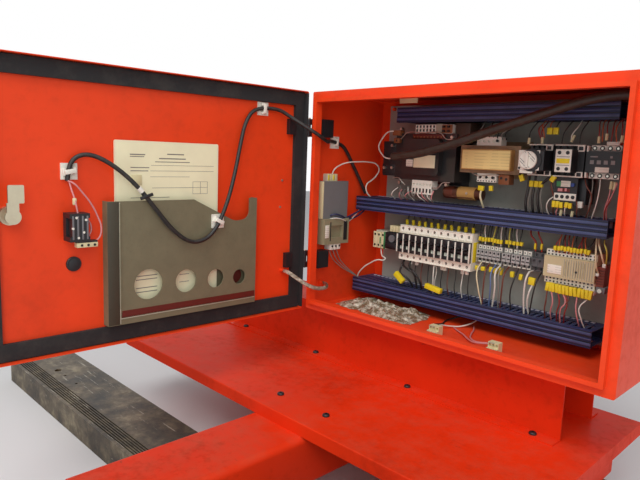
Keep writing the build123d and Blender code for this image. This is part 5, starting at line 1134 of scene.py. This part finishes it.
class CABINET_OT_transformers(bpy.types.Operator):
    """Dress both transformers, the choke coil and the wires about them"""

    bl_idname = "cabinet.transformers"
    bl_label = "Transformers"

    def execute(self, context):
        self.main_transformer()
        self.control_transformer()
        self.wiring(context.scene.cabinet_wiring.wire_radius)
        return {"FINISHED"}

    def main_transformer(self):
        columns = [180.5 + i * 9 for i in range(6)]
        # Black in the terminal slots: painted shade
        blocks("main_slots", "black", [(x - 2.2, x + 2.2, 153.5, 155, z, z + 5.2) for x in columns
            for z in (420, 428.4)] + [(x - 2.2, x + 2.2, 152.8, 155, 284.5, 294) for x in columns], 0.3)
        blocks("main_low_strip", "white", [(175, 229, 153.2, 160, 281, 299)], 0.5)
        blocks("main_strip_end", "beige", [(230, 246, 155, 172, 416.5, 437)], 0.6)
        blocks("main_brown_parts", "brown",
            [(246.2, 272.8, 153.2, 155, 416.4, 434.6), (114, 137, 150, 166, 411, 423),
            (121, 137, 147, 157, 394, 405)], 0.7)
        # Black discs in the terminal holes: painted shade
        discs("brown_wells", "black", [(253, 430), (265, 430), (253, 421), (265, 421), (129, 399)], 2.3,
            146.6, 7)
        blocks("main_pin_board", "dark_red", [(172, 256, 150, 157, 404.5, 414)], 0.4)
        discs("main_pins", "brown", [(177 + i * 9, 408) for i in range(9)], 2.1, 149.3, 3)
        blocks("main_box", "dark_brown", [(276, 312, 161, 214, 396, 438)], 1.0)
        blocks("main_flange", "black", [(82, 123, 160, 176, 318, 398), (84, 123, 156, 161, 322, 345)], 0.8)
        nuts = [(136, 426), (273, 408), (112, 388), (91, 336), (114, 337), (138, 304), (266, 306)]
        discs("main_nuts", "zinc", nuts, 3.6, 152, 9, sides=6)
        blocks("main_label", "form_label", [(186, 243, 139.1, 140.6, 340.5, 368)], 0.2)
        blocks("main_small_label", "label", [(166, 184, 139.1, 140.6, 342, 358)], 0.2)
        blocks("ceiling_label", "cream", [(131, 180, 148, 151, 483, 498.5)], 0.5)
        ring = [(-22, 12.8), (-21, 14.6), (20, 14.4), (21, 12.8)]
        Shape().turned((301, 190, 289), (1, 0, 0), ring).done("coil_cloth", "gold")
        tape = [(-11, 12.8), (-10, 14), (9, 14), (10, 12.8)]
        Shape().turned((258, 190, 289), (1, 0, 0), tape).done("coil_tape", "wire_brown")
        discs("coil_cloth_screw", "zinc", [(305, 290)], 2.8, 174, 4)

    def control_transformer(self):
        blocks("control_coil_cover", "gold", [(303, 415, 148.6, 165, 342, 384)], 1.0)
        blocks("control_label", "orange_label", [(305, 413, 148.1, 149.4, 344, 382)], 0.3)
        blocks("control_brown_part", "brown", [(383, 406, 165, 187, 314, 334)], 0.8)
        # Black discs in the terminal holes: painted shade
        discs("control_wells", "black", [(341, 327), (355, 327), (369, 327), (373, 402), (389, 327),
            (400, 325)], 2.8, 164.6, 3)
        discs("control_small_wells", "black", [(336 + i * 6.4, 319.5) for i in range(7)], 1.4, 165.5, 1.2)
        markers("control_markers", "yellow",
            [((345, 165, 304), (13, 6, 10), 5), ((368, 165, 305), (8, 6, 11), -4)])

    def wiring(self, radius):
        loop = [(124, 158, 420), (114, 150, 421), (98, 149, 417), (86, 150, 406), (76, 152, 395),
            (72, 153, 387), (75, 153, 376), (83, 152, 368), (93, 150, 361), (104, 150, 358),
            (118, 148, 359), (131, 146, 363)]
        wires("main_loop_wire", "wire_white", [loop], 1.7)
        wires("main_brackets", "zinc",
            [[(138, 152, 403), (146, 151, 410), (155, 150, 417), (200, 150, 416.5), (247, 150, 416),
            (261, 151, 404), (276, 153, 404)],
            [(118, 154, 313), (138, 152, 314), (146, 152, 307), (156, 153, 299)],
            [(232, 153, 297), (248, 152, 299), (257, 152, 309), (276, 153, 311)],
            [(322, 165, 334), (330, 164, 331), (344, 165, 330), (375, 165, 333), (384, 166, 332)]], 1.0)
        tangle = {"white": [], "grey": [], "pink": []}
        for index in range(15):
            x = 130 + index * 7 + about(3)
            drift = about(16)
            colour = ("white", "grey", "pink", "grey")[index % 4]
            tangle[colour].append([(x, 160, 290 + RANDOM.uniform(-4, 6)),
                (x + drift * 0.5, 152 + RANDOM.uniform(-6, 4), 278), (x + drift, 160, 268),
                (x + drift, 176, 258)])
        coloured_wires("main_wires", tangle, radius * 1.1)
        leads = {"black": [], "grey": []}
        for index in range(9):
            x = 318 + index * 9
            lean = RANDOM.uniform(6, 18)
            leads[("black", "grey")[index % 2]].append([(x, 172, 404), (x + 2, 164, 414 + about(3)),
                (x + lean, 168, 428), (x + lean, 182, 444)])
        coloured_wires("control_leads", leads, radius * 1.3)
        wires("control_output_wire", "wire_cream",
            [[(345, 166, 300), (346, 162, 288), (349, 164, 276), (349, 178, 256)]], 2.2)


class CABINET_OT_contactors(bpy.types.Operator):
    """Dress the contactors, the timer, the auxiliary block and the overload relay, with their wires"""

    bl_idname = "cabinet.contactors"
    bl_label = "Contactors"

    def execute(self, context):
        blocks("contactor_strips", "white",
            [(565, 617, 157.3, 160, 385.3, 395.6), (565, 617, 157.3, 160, 336.4, 347),
            (590, 612, 158, 176, 396, 402.5), (560.6, 563.6, 148, 158, 384, 394.6),
            (560.6, 563.6, 148, 158, 337, 347)], 0.5)
        wells = [(571 + i * 13.3, z) for i in range(4) for z in (390.4, 341.6)]
        # Black rings round the screws: painted shade in their recesses
        discs("contactor_wells", "black", wells, 4.2, 156.8, 2)
        discs("contactor_screws", "zinc", wells, 2.2, 156.4, 2)
        brackets = []
        for left, right in ((449, 499), (500, 558)):
            brackets += [(left + 2, right - 1, 149, 153, 393.6, 396),
                (left + 2, right - 1, 149, 153, 336.6, 339),
                (right - 14, right - 1, 147.6, 150, 383.4, 395.4),
                (right - 14, right - 1, 147.6, 150, 336.6, 347)]
        blocks("contactor_brackets", "white", brackets, 0.4)
        square = [(x - 4, x + 4, 147.1, 149, z - 3.4, z + 3.4) for x in (491.5, 550.5)
            for z in (389.2, 342)]
        blocks("contactor_windows", "black", square, 0.3)
        blocks("contactor_label", "label", [(578, 602, 147.9, 149.4, 347.5, 357)], 0.2)
        marks = [(568 + i * 12, 575 + i * 12, 148.0, 149.4, 362, 369) for i in range(4)]
        marks += [(568, 581, 148.0, 149.4, 374, 376.4), (602, 606, 148.0, 149.4, 373, 377),
            (530, 536, 148.0, 149.4, 358, 370)]
        blocks("contactor_marks", "grey_block", marks, 0.2)
        self.timer()
        self.overload()
        self.tags()
        self.wiring(context.scene.cabinet_wiring.wire_radius)
        return {"FINISHED"}

    def timer(self):
        blocks("timer_face", "white",
            [(449.8, 491, 111.8, 114, 346.6, 383.4), (453, 479, 113, 130, 340.4, 347)], 0.5)
        ring = [(0, 20.4), (0.9, 20.8), (1.6, 20.8)]
        Shape().turned((474.5, 111.0, 365), (0, 1, 0), ring, 40).done("timer_ring", "black")
        discs("timer_screws", "black", [(487.5, 379.6), (487, 350.5), (453, 350), (482, 343.6)], 2.4, 111.2,
            1.5)
        lines = Shape()
        for step in (-11, -7, 7, 11):
            reach = (15.6 ** 2 - step * step) ** 0.5
            turn = Matrix.Rotation(radians(42), 4, "Y")
            for side in (-1, 1):
                middle = turn @ Vector((side * reach * 0.5, 0, step))
                centre = Vector((470, 106.8, 365)) + middle
                half = Vector((reach * 0.42, 0.35, 0.4))
                lines.block(centre - half, centre + half, turn=turn)
        lines.done("dial_lines", "module", "dial")
        blocks("aux_face", "white", [(516.4, 545.6, 120.8, 123, 345.6, 386.4)], 0.5)
        # Black discs in the terminal holes: painted shade
        discs("aux_wells", "black", [(x, z) for x in (523.5, 538.5) for z in (351.5, 380.5)], 3.4, 120.3,
            1.5)
        blocks("aux_stripe", "yellow", [(519, 543, 120.2, 121.6, 361.5, 370)], 0.3)
        blocks("aux_lines", "grey_block", [(519, 543, 120.4, 121.6, z, z + 1.3) for z in (372.5, 357.5)])

    def overload(self):
        blocks("overload_face", "white", [(505.8, 547.2, 153.7, 156, 293, 306.4)], 0.5)
        # Black discs in the terminal holes: painted shade
        discs("overload_wells", "black", [(511.5 + i * 10, 299.8) for i in range(4)], 3.5, 153.1, 2)
        blocks("overload_label", "label", [(517, 535, 153.8, 155, 318.5, 329.5)], 0.3)
        blocks("overload_green", "green", [(509, 517, 153.8, 155, 318.5, 328)], 0.3)
        blocks("overload_bits", "wire_pink",
            [(512, 521, 153.7, 155, 309.5, 315), (525, 529, 153.7, 155, 310, 316)], 0.4)
        blocks("overload_dark_bits", "dark_red",
            [(521, 525, 153.6, 155, 309, 316), (529, 535, 153.6, 155, 309, 315)], 0.4)
        blocks("overload_side", "black", [(547.5, 561, 164, 204, 287, 334)], 0.8)
        blocks("overload_arm", "white", [(549, 558, 158, 166, 281, 293)], 0.8)

    def tags(self):
        ferrules = Shape()
        for x, z, lean in (
            (447, 402, 1), (474, 403, 0), (529, 407, 5), (578, 405, 0), (591, 410, 0), (616, 407, 1),
            (622, 406, 3),
        ):
            ferrules.rod((x, 153, z - 6), (x + lean, 153, z + 6), 2.7, 12)
        for x, z in ((604, 326), (610, 325), (519, 268), (540, 267)):
            ferrules.rod((x, 160, z - 7), (x + 1, 160, z + 7), 2.7, 12)
        ferrules.done("contactor_ferrules", "cream")
        yellow = [((484, 160, 421), (10, 5, 13), 0), ((496, 160, 421), (10, 5, 13), 0),
            ((437, 158, 330), (9, 6, 13), -22), ((457, 160, 320), (8, 6, 12), 0),
            ((467, 160, 320), (8, 6, 12), 3), ((476, 160, 320), (8, 6, 12), -3),
            ((502, 152, 332), (9, 5, 12), 32), ((508, 152, 285), (6, 6, 12), 0),
            ((515, 152, 285), (6, 6, 12), 4), ((522, 152, 284), (6, 6, 11), -4),
            ((532, 152, 285), (6, 6, 10), 5), ((539, 152, 284), (6, 6, 10), -5)]
        markers("contactor_markers", "yellow", yellow)

    def wiring(self, radius):
        wires("contactor_heavy_wires", "wire_black",
            [[(448, 165, 334), (450, 162, 314), (448, 160, 285), (446, 172, 256)],
            [(500, 158, 338), (488, 158, 330), (474, 160, 314), (472, 160, 290), (474, 172, 256)],
            [(462, 165, 336), (462, 162, 316), (461, 160, 290), (461, 172, 256)]], 2.6)
        runs = {"grey": [[(457, 161, 316), (456, 158, 300), (453, 160, 280), (454, 174, 256)],
            [(478, 161, 316), (478, 158, 298), (481, 160, 276), (480, 174, 256)],
            [(572, 160, 336), (575, 154, 318), (573, 154, 298), (566, 168, 256)]],
            "white": [[(506, 158, 300), (497, 152, 290), (493, 156, 276), (497, 170, 256)],
            [(585, 160, 336), (588, 152, 318), (586, 152, 296), (572, 168, 256)],
            [(531, 158, 292), (530, 152, 278), (527, 160, 266), (527, 174, 256)],
            [(529, 153, 402), (531, 150, 414), (538, 156, 428), (538, 176, 444)]],
            "brown": [[(558, 160, 336), (566, 150, 322), (576, 150, 306), (574, 154, 288), (561, 168, 256)],
            [(497, 160, 334), (500, 152, 318), (504, 156, 300), (500, 170, 270), (500, 176, 256)],
            [(547, 158, 296), (552, 152, 280), (549, 160, 268), (548, 174, 256)]],
            "pink": [[(604, 160, 320), (604, 156, 306), (599, 158, 286), (594, 172, 256)],
            [(615, 160, 330), (609, 156, 308), (602, 158, 288), (599, 172, 256)],
            [(514, 158, 280), (512, 156, 270), (510, 174, 256)]],
            "red": [[(610, 160, 319), (607, 156, 300), (599, 158, 280), (597, 172, 256)],
            [(474, 153, 408), (472, 152, 420), (476, 158, 432), (474, 180, 444)],
            [(470, 153, 408), (466, 152, 424), (469, 160, 434), (468, 180, 444)],
            [(578, 153, 411), (577, 154, 424), (573, 164, 436), (572, 182, 444)],
            [(591, 153, 416), (590, 154, 428), (588, 164, 438), (588, 182, 444)],
            [(598, 156, 402), (600, 154, 424), (598, 164, 436), (598, 182, 444)],
            [(616, 153, 413), (615, 154, 428), (611, 164, 438), (610, 182, 444)]],
            "orange": [[(478, 153, 408), (477, 150, 418), (471, 156, 432), (471, 180, 444)],
            [(584, 153, 402), (583, 154, 424), (580, 164, 436), (580, 182, 444)],
            [(607, 156, 402), (606, 152, 424), (606, 164, 436), (606, 182, 444)],
            [(484, 160, 428), (484, 164, 436), (484, 182, 444)]],
            "black": [[(496, 160, 428), (498, 164, 436), (498, 182, 444)],
            [(512, 153, 398), (514, 154, 416), (520, 164, 434), (520, 182, 444)],
            [(545, 153, 398), (546, 154, 418), (550, 164, 434), (550, 182, 444)],
            [(447, 153, 408), (448, 156, 420), (454, 166, 436), (454, 182, 444)]]}
        coloured_wires("contactor_wires", runs, radius)


class CABINET_OT_left_wall(bpy.types.Operator):
    """Dress the module, the relay base and the connectors on the left wall and the floor"""

    bl_idname = "cabinet.left_wall"
    bl_label = "Left wall"

    def execute(self, context):
        radius = context.scene.cabinet_wiring.wire_radius
        blocks("module_edge", "cream", [(1.6, 21.9, 21, 24.5, 212.5, 299.5)], 0.6)
        blocks("module_terminals", "cream",
            [(2, 16, 40.4 + i * 8.4, 48 + i * 8.4, 299, 317) for i in range(4)], 0.8)
        blocks("module_clips", "yellow",
            [(15, 17, 42 + i * 8.4, 46 + i * 8.4, 302, 314) for i in range(0, 4, 2)], 0.3)
        blocks("relay_label", "label", [(31.2, 32.2, 24, 36, 168, 198)], 0.2)
        # Black in the slots: painted shade
        blocks("relay_slots", "black", [(31.2, 32, 40, 43, 160, 205), (31.2, 32, 86, 98, 160, 205)], 0.2)
        blocks("relay_terminals", "white", [(8, 30, 46 + i * 12, 55 + i * 12, 138, 156) for i in range(3)],
            1.0)
        # Black discs in the terminal holes: painted shade
        relay_shade_wells = Shape()
        for i in range(3):
            relay_shade_wells.rod((29, 50.5 + i * 12, 147), (31, 50.5 + i * 12, 147), 2.6, 12)
        relay_shade_wells.done("relay_wells", "black")
        wires("module_loop", "wire_white",
            [[(10, 60, 314), (12, 66, 327), (16, 82, 338), (22, 99, 344), (30, 129, 347), (38, 160, 347),
            (44, 179, 343), (48, 187, 331), (48, 177, 314), (46, 161, 302), (44, 149, 294), (42, 150, 278),
            (46, 172, 256)]], 1.6)
        wires("module_blue_wires", "wire_navy",
            [[(14, 50, 214), (27, 52, 222), (30, 76, 219), (24, 104, 210), (18, 150, 214), (24, 180, 236)],
            [(14, 62, 214), (29, 66, 214), (27, 92, 211), (22, 118, 216), (26, 176, 238)],
            [(14, 74, 214), (25, 78, 208), (26, 100, 206), (20, 130, 218), (30, 178, 238)]], 2.0)
        wires("module_white_wire", "wire_white",
            [[(16, 46, 210), (33, 56, 214), (34, 84, 208), (24, 108, 202), (20, 160, 234)]], 1.3)
        wires("relay_wires", "wire_grey",
            [[(20, 50 + i * 12, 139), (24, 54 + i * 12, 124), (20, 76 + i * 10, 104), (30, 150, 60)]
            for i in range(3)], radius)
        wires("floor_wires", "wire_pink",
            [[(326, 130, 4), (346, 114, 5), (367, 99, 6), (396, 72, 8), (420, 54, 11), (454, 52, 17)],
            [(350, 171, 4), (366, 142, 5), (378, 113, 6), (400, 76, 9), (424, 58, 12), (455, 60, 17)]], 1.5)
        wires("floor_dark_wires", "wire_black",
            [[(326, 66, 16), (300, 88, 12), (296, 130, 6), (285, 166, 5), (310, 200, 20), (320, 206, 34)]],
            1.8)
        wires("floor_white_wires", "wire_white",
            [[(326, 70, 16), (312, 100, 12), (318, 128, 6), (332, 151, 5), (348, 190, 18), (352, 206, 34)]],
            1.6)
        latch = [(317, 331, 49.2, 51, 20.6, 22.4), (457, 469, 41.2, 43, 22.6, 24.4)]
        latch += [(312 + i * 5, 314.6 + i * 5, 48.8, 50.5, 4, 10) for i in range(5)]
        latch += [(453 + i * 4.6, 455.4 + i * 4.6, 40.8, 42.5, 5, 12) for i in range(5)]
        blocks("connector_details", "beige", latch, 0.3)
        blocks("clip_tie", "white", [(1.6, 14.6, 70, 75, 382, 400)], 1.5)
        wires("earth_loop", "wire_white",
            [[(70, 184, 138), (84, 172, 122), (100, 164, 115), (82, 158, 112), (62, 158, 102),
            (35, 158, 83), (18, 160, 60), (17, 166, 40)]], 1.6)
        self.bag()
        return {"FINISHED"}

    def bag(self):
        """A clear bag left crumpled on the cabinet's floor."""
        across, along = 44, 30
        shape = Shape()
        rows = []
        for i in range(across + 1):
            row = []
            for j in range(along + 1):
                u, v = i / across * 2 - 1, j / along * 2 - 1
                edge = 1 - max(abs(u), abs(v)) ** 4
                spot = Vector((u * 3.1, v * 2.3, 0.7))
                wave = noise.noise(spot) + 0.55 * noise.noise(spot * 2.7) + 0.3 * noise.noise(spot * 6.1)
                height = 2.4 + edge * (4 + 15 * abs(wave))
                ragged = 24 * noise.noise(Vector((v * 1.7, 4, 0))) + 9 * noise.noise(Vector((v * 6, 7, 0)))
                x = max(4.0, 134 + u * (112 + ragged))
                ragged = 22 * noise.noise(Vector((u * 1.9, 9, 0))) + 8 * noise.noise(Vector((u * 7, 3, 0)))
                y = 124 + v * (60 + ragged) - u * 10
                row.append(shape.mesh.verts.new((x, y, height)))
            rows.append(row)
        for first, second in zip(rows, rows[1:]):
            for j in range(along):
                shape.mesh.faces.new((first[j], second[j], second[j + 1], first[j + 1]))
        piece = shape.done("clear_bag", "film")


class CABINET_OT_door(bpy.types.Operator):
    """Dress the door's inside: the cable's clips, the contact block's wires, the pocket, painted shade along
    the hinge edge and some screws
    """

    bl_idname = "cabinet.door"
    bl_label = "Door"

    def execute(self, context):
        self.clips()
        self.contact()
        self.pocket()
        # Black along the hinge-side return, drawn in seal foam: painted shade of the return beside the gap
        blocks("door_edge_strip", "seal",
            [(1.3, 2.6, -20.2, -1.2, 4, 496), (-0.2, 2.6, -1.3, -0.5, 4, 496)], 0.2, "door", DOOR)
        small = [(650, 440), (662, 120), (56, 300), (60, 240), (662, 340), (120, 20)]
        discs("door_screws", "zinc", small, 2.6, SKIN, 2.2, "door", DOOR)
        return {"FINISHED"}

    def clips(self):
        """The bridges and ties that hold the cable, and the thin wire beside it."""
        ties = Shape()
        for x, z, y, tilt in ((528, 316, SKIN, 10), (116, 453, SKIN, 90), (240, 219, -0.5, -28)):
            turn = Matrix.Rotation(radians(tilt), 4, "Y")
            for side in (-1, 1):
                offset = turn @ Vector((side * 9, 0, 0))
                low = Vector((x, y + 1, z)) + offset - Vector((3, 0, 6))
                ties.block(low, low + Vector((6, 7, 12)), 1.2, turn)
            middle = Vector((x, y + 10, z))
            ties.block(middle - Vector((10, 2, 4)), middle + Vector((10, 2.4, 4)), 1.2, turn)
        ties.done("cable_ties", "white", "door", DOOR)
        thin = [(x + 7, y + 2, z + 4) for x, y, z in ((440, 3, 314), (410, 7, 285), (379, 7.5, 247),
            (344, 8, 205), (306, 7.5, 179))]
        wires("thin_door_wire", "wire_black", [thin], 1.6, "door", DOOR)
        Shape().tube([(414, 6.6, 288.5), (407, 7.2, 281)], 5.0, 14).done("cable_ring", "white", "door",
            DOOR)
        tie = [((401, 12.5, 273), (26, 3, 6), 18), ((403, 8, 274), (5, 10, 9), 40)]
        markers("cable_knot", "black", tie, "door", DOOR)
        blocks("sleeve_sticker", "cream", [(397, 418, -14.7, -13.9, 292, 311)], 0.3, "door", DOOR)

    def contact(self):
        boxes = [(511 + i * 8, 514 + i * 8, 18, 19.6, 203, 243) for i in range(4)]
        blocks("contact_ribs", "module", boxes, 0.4, "door", DOOR)
        specks = [(515, 236), (531, 240), (537, 222), (519, 215), (528, 206)]
        discs("contact_screws", "white", specks, 2, 17.6, 2.2, "door", DOOR)
        blocks("contact_strip", "cream", [(494, 530, 3.6, 17, 188.5, 197)], 1.0, "door", DOOR)
        # Black discs in the terminal holes: painted shade
        discs("contact_strip_wells", "black", [(500, 192.5), (511, 192.5), (522, 192.5)], 2.2, 16.4, 1.4,
            "door", DOOR)
        wires("contact_wires", "wire_pink",
            [[(531, -10, 300), (530, -5, 288), (527, 2, 270), (524, 8, 244)],
            [(533, -10, 300), (527, -3, 297), (513, 0, 281), (498, 3, 259), (489, 6, 238), (485, 9, 222),
            (489, 11, 204), (500, 12, 196)], [(515, 8, 240), (505, 6, 232), (502, 8, 218), (508, 11, 206),
            (510, 12, 197)]], 1.5, "door", DOOR)
        blocks("contact_ferrule", "cream", [(524, 530, -2, 4, 260, 272)], 1.6, "door", DOOR)
        ring = [(-17.2, 9.2), (-15.6, 9.8), (-15.2, 8.6)]
        Shape().turned((523, 0, 155), (0, 1, 0), ring).done("plug_ring", "black", "door", DOOR)

    def pocket(self):
        # Darker strip down the pocket's left part: painted shade
        blocks("pocket_strip", "pocket_dark", [(448, 469.6, -0.9, -0.1, 37, 263)], 0.3, "door", DOOR)
        # Dark red in the slot: the door's paint in painted shadow
        blocks("pocket_slot", "dark_red", [(141.5, 444, -0.8, -0.2, 49.5, 62)], 0, "door", DOOR)
        # Pale lines along the slot's lower edge and down the rib: painted highlight
        blocks("pocket_lip", "beige", [(141.5, 446, -0.7, 0.2, 46.5, 48.2), (446, 448, -0.8, 0.3, 38, 262)],
            0.3, "door", DOOR)
        # Dark red behind the hole: the door's paint in painted shadow
        discs("pocket_back", "dark_red", [(183, 97)], 17, -17.5, 0.5, "door", DOOR, 32)
        blocks("form_sheet", "form_label", [(234, 444, -15.1, -14.8, 60, 369)], 0, "door", DOOR)
        bars = [(390, 420, 347, 349), (392, 420, 343.6, 345), (309, 345, 349, 351),
            (305, 362, 340.6, 342.6), (296, 370, 334.6, 336)]
        bars += [(241, 378, 328.4, 329), (382, 419, 323.4, 325), (241, 380, 318, 318.6),
            (384, 419, 317.4, 319), (296, 380, 307, 307.6)]
        bars += [(286, 376, 286, 286.7), (340, 419, 268, 269), (255, 289, 297.4, 298),
            (255, 289, 286, 286.6), (255, 289, 273.6, 274.2)]
        bars += [(255, 255.7, 273.6, 298), (271, 271.7, 273.6, 298), (288.4, 289, 273.6, 298)]
        bars += [(366, 410, z, z + 1.6) for z in (88, 96, 112, 119)] + [(296, 318, z, z + 1.2)
            for z in (98, 113)]
        blocks("form_lines", "wire_grey", [(x0, x1, -14.9, -14.6, z0, z1) for x0, x1, z0, z1 in bars], 0,
            "door", DOOR)


class CABINET_PT_panel(bpy.types.Panel):
    """The cabinet's sizes and the operators that dress it"""

    bl_idname = "CABINET_PT_panel"
    bl_label = "Control cabinet"
    bl_space_type = "VIEW_3D"
    bl_region_type = "UI"
    bl_category = "Cabinet"

    def draw(self, context):
        layout = self.layout
        for key in GROUPS:
            group = getattr(context.scene, key)
            for name in group.bl_rna.properties.keys():
                if name not in ("rna_type", "name"):
                    layout.prop(group, name)
        for operator in OPERATORS:
            layout.operator(operator.bl_idname)


GROUPS = {"cabinet_stage": CabinetStage, "cabinet_wiring": CabinetWiring, "cabinet_colours": CabinetColours}
OPERATORS = (
    CABINET_OT_stage,
    CABINET_OT_finishes,
    CABINET_OT_ducts,
    CABINET_OT_breakers,
    CABINET_OT_terminals,
    CABINET_OT_controller,
    CABINET_OT_transformers,
    CABINET_OT_contactors,
    CABINET_OT_left_wall,
    CABINET_OT_door,
    CABINET_OT_cables,
)
CLASSES = (*GROUPS.values(), *OPERATORS, CABINET_PT_panel)


def register():
    for cls in CLASSES:
        bpy.utils.register_class(cls)
    for name, group in GROUPS.items():
        setattr(bpy.types.Scene, name, bpy.props.PointerProperty(type=group))


def unregister():
    for name in GROUPS:
        delattr(bpy.types.Scene, name)
    for cls in reversed(CLASSES):
        bpy.utils.unregister_class(cls)


def main():
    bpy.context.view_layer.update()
    register()
    for operator in OPERATORS:
        category, name = operator.bl_idname.split(".")
        getattr(getattr(bpy.ops, category), name)()


if __name__ == "__main__":
    main()
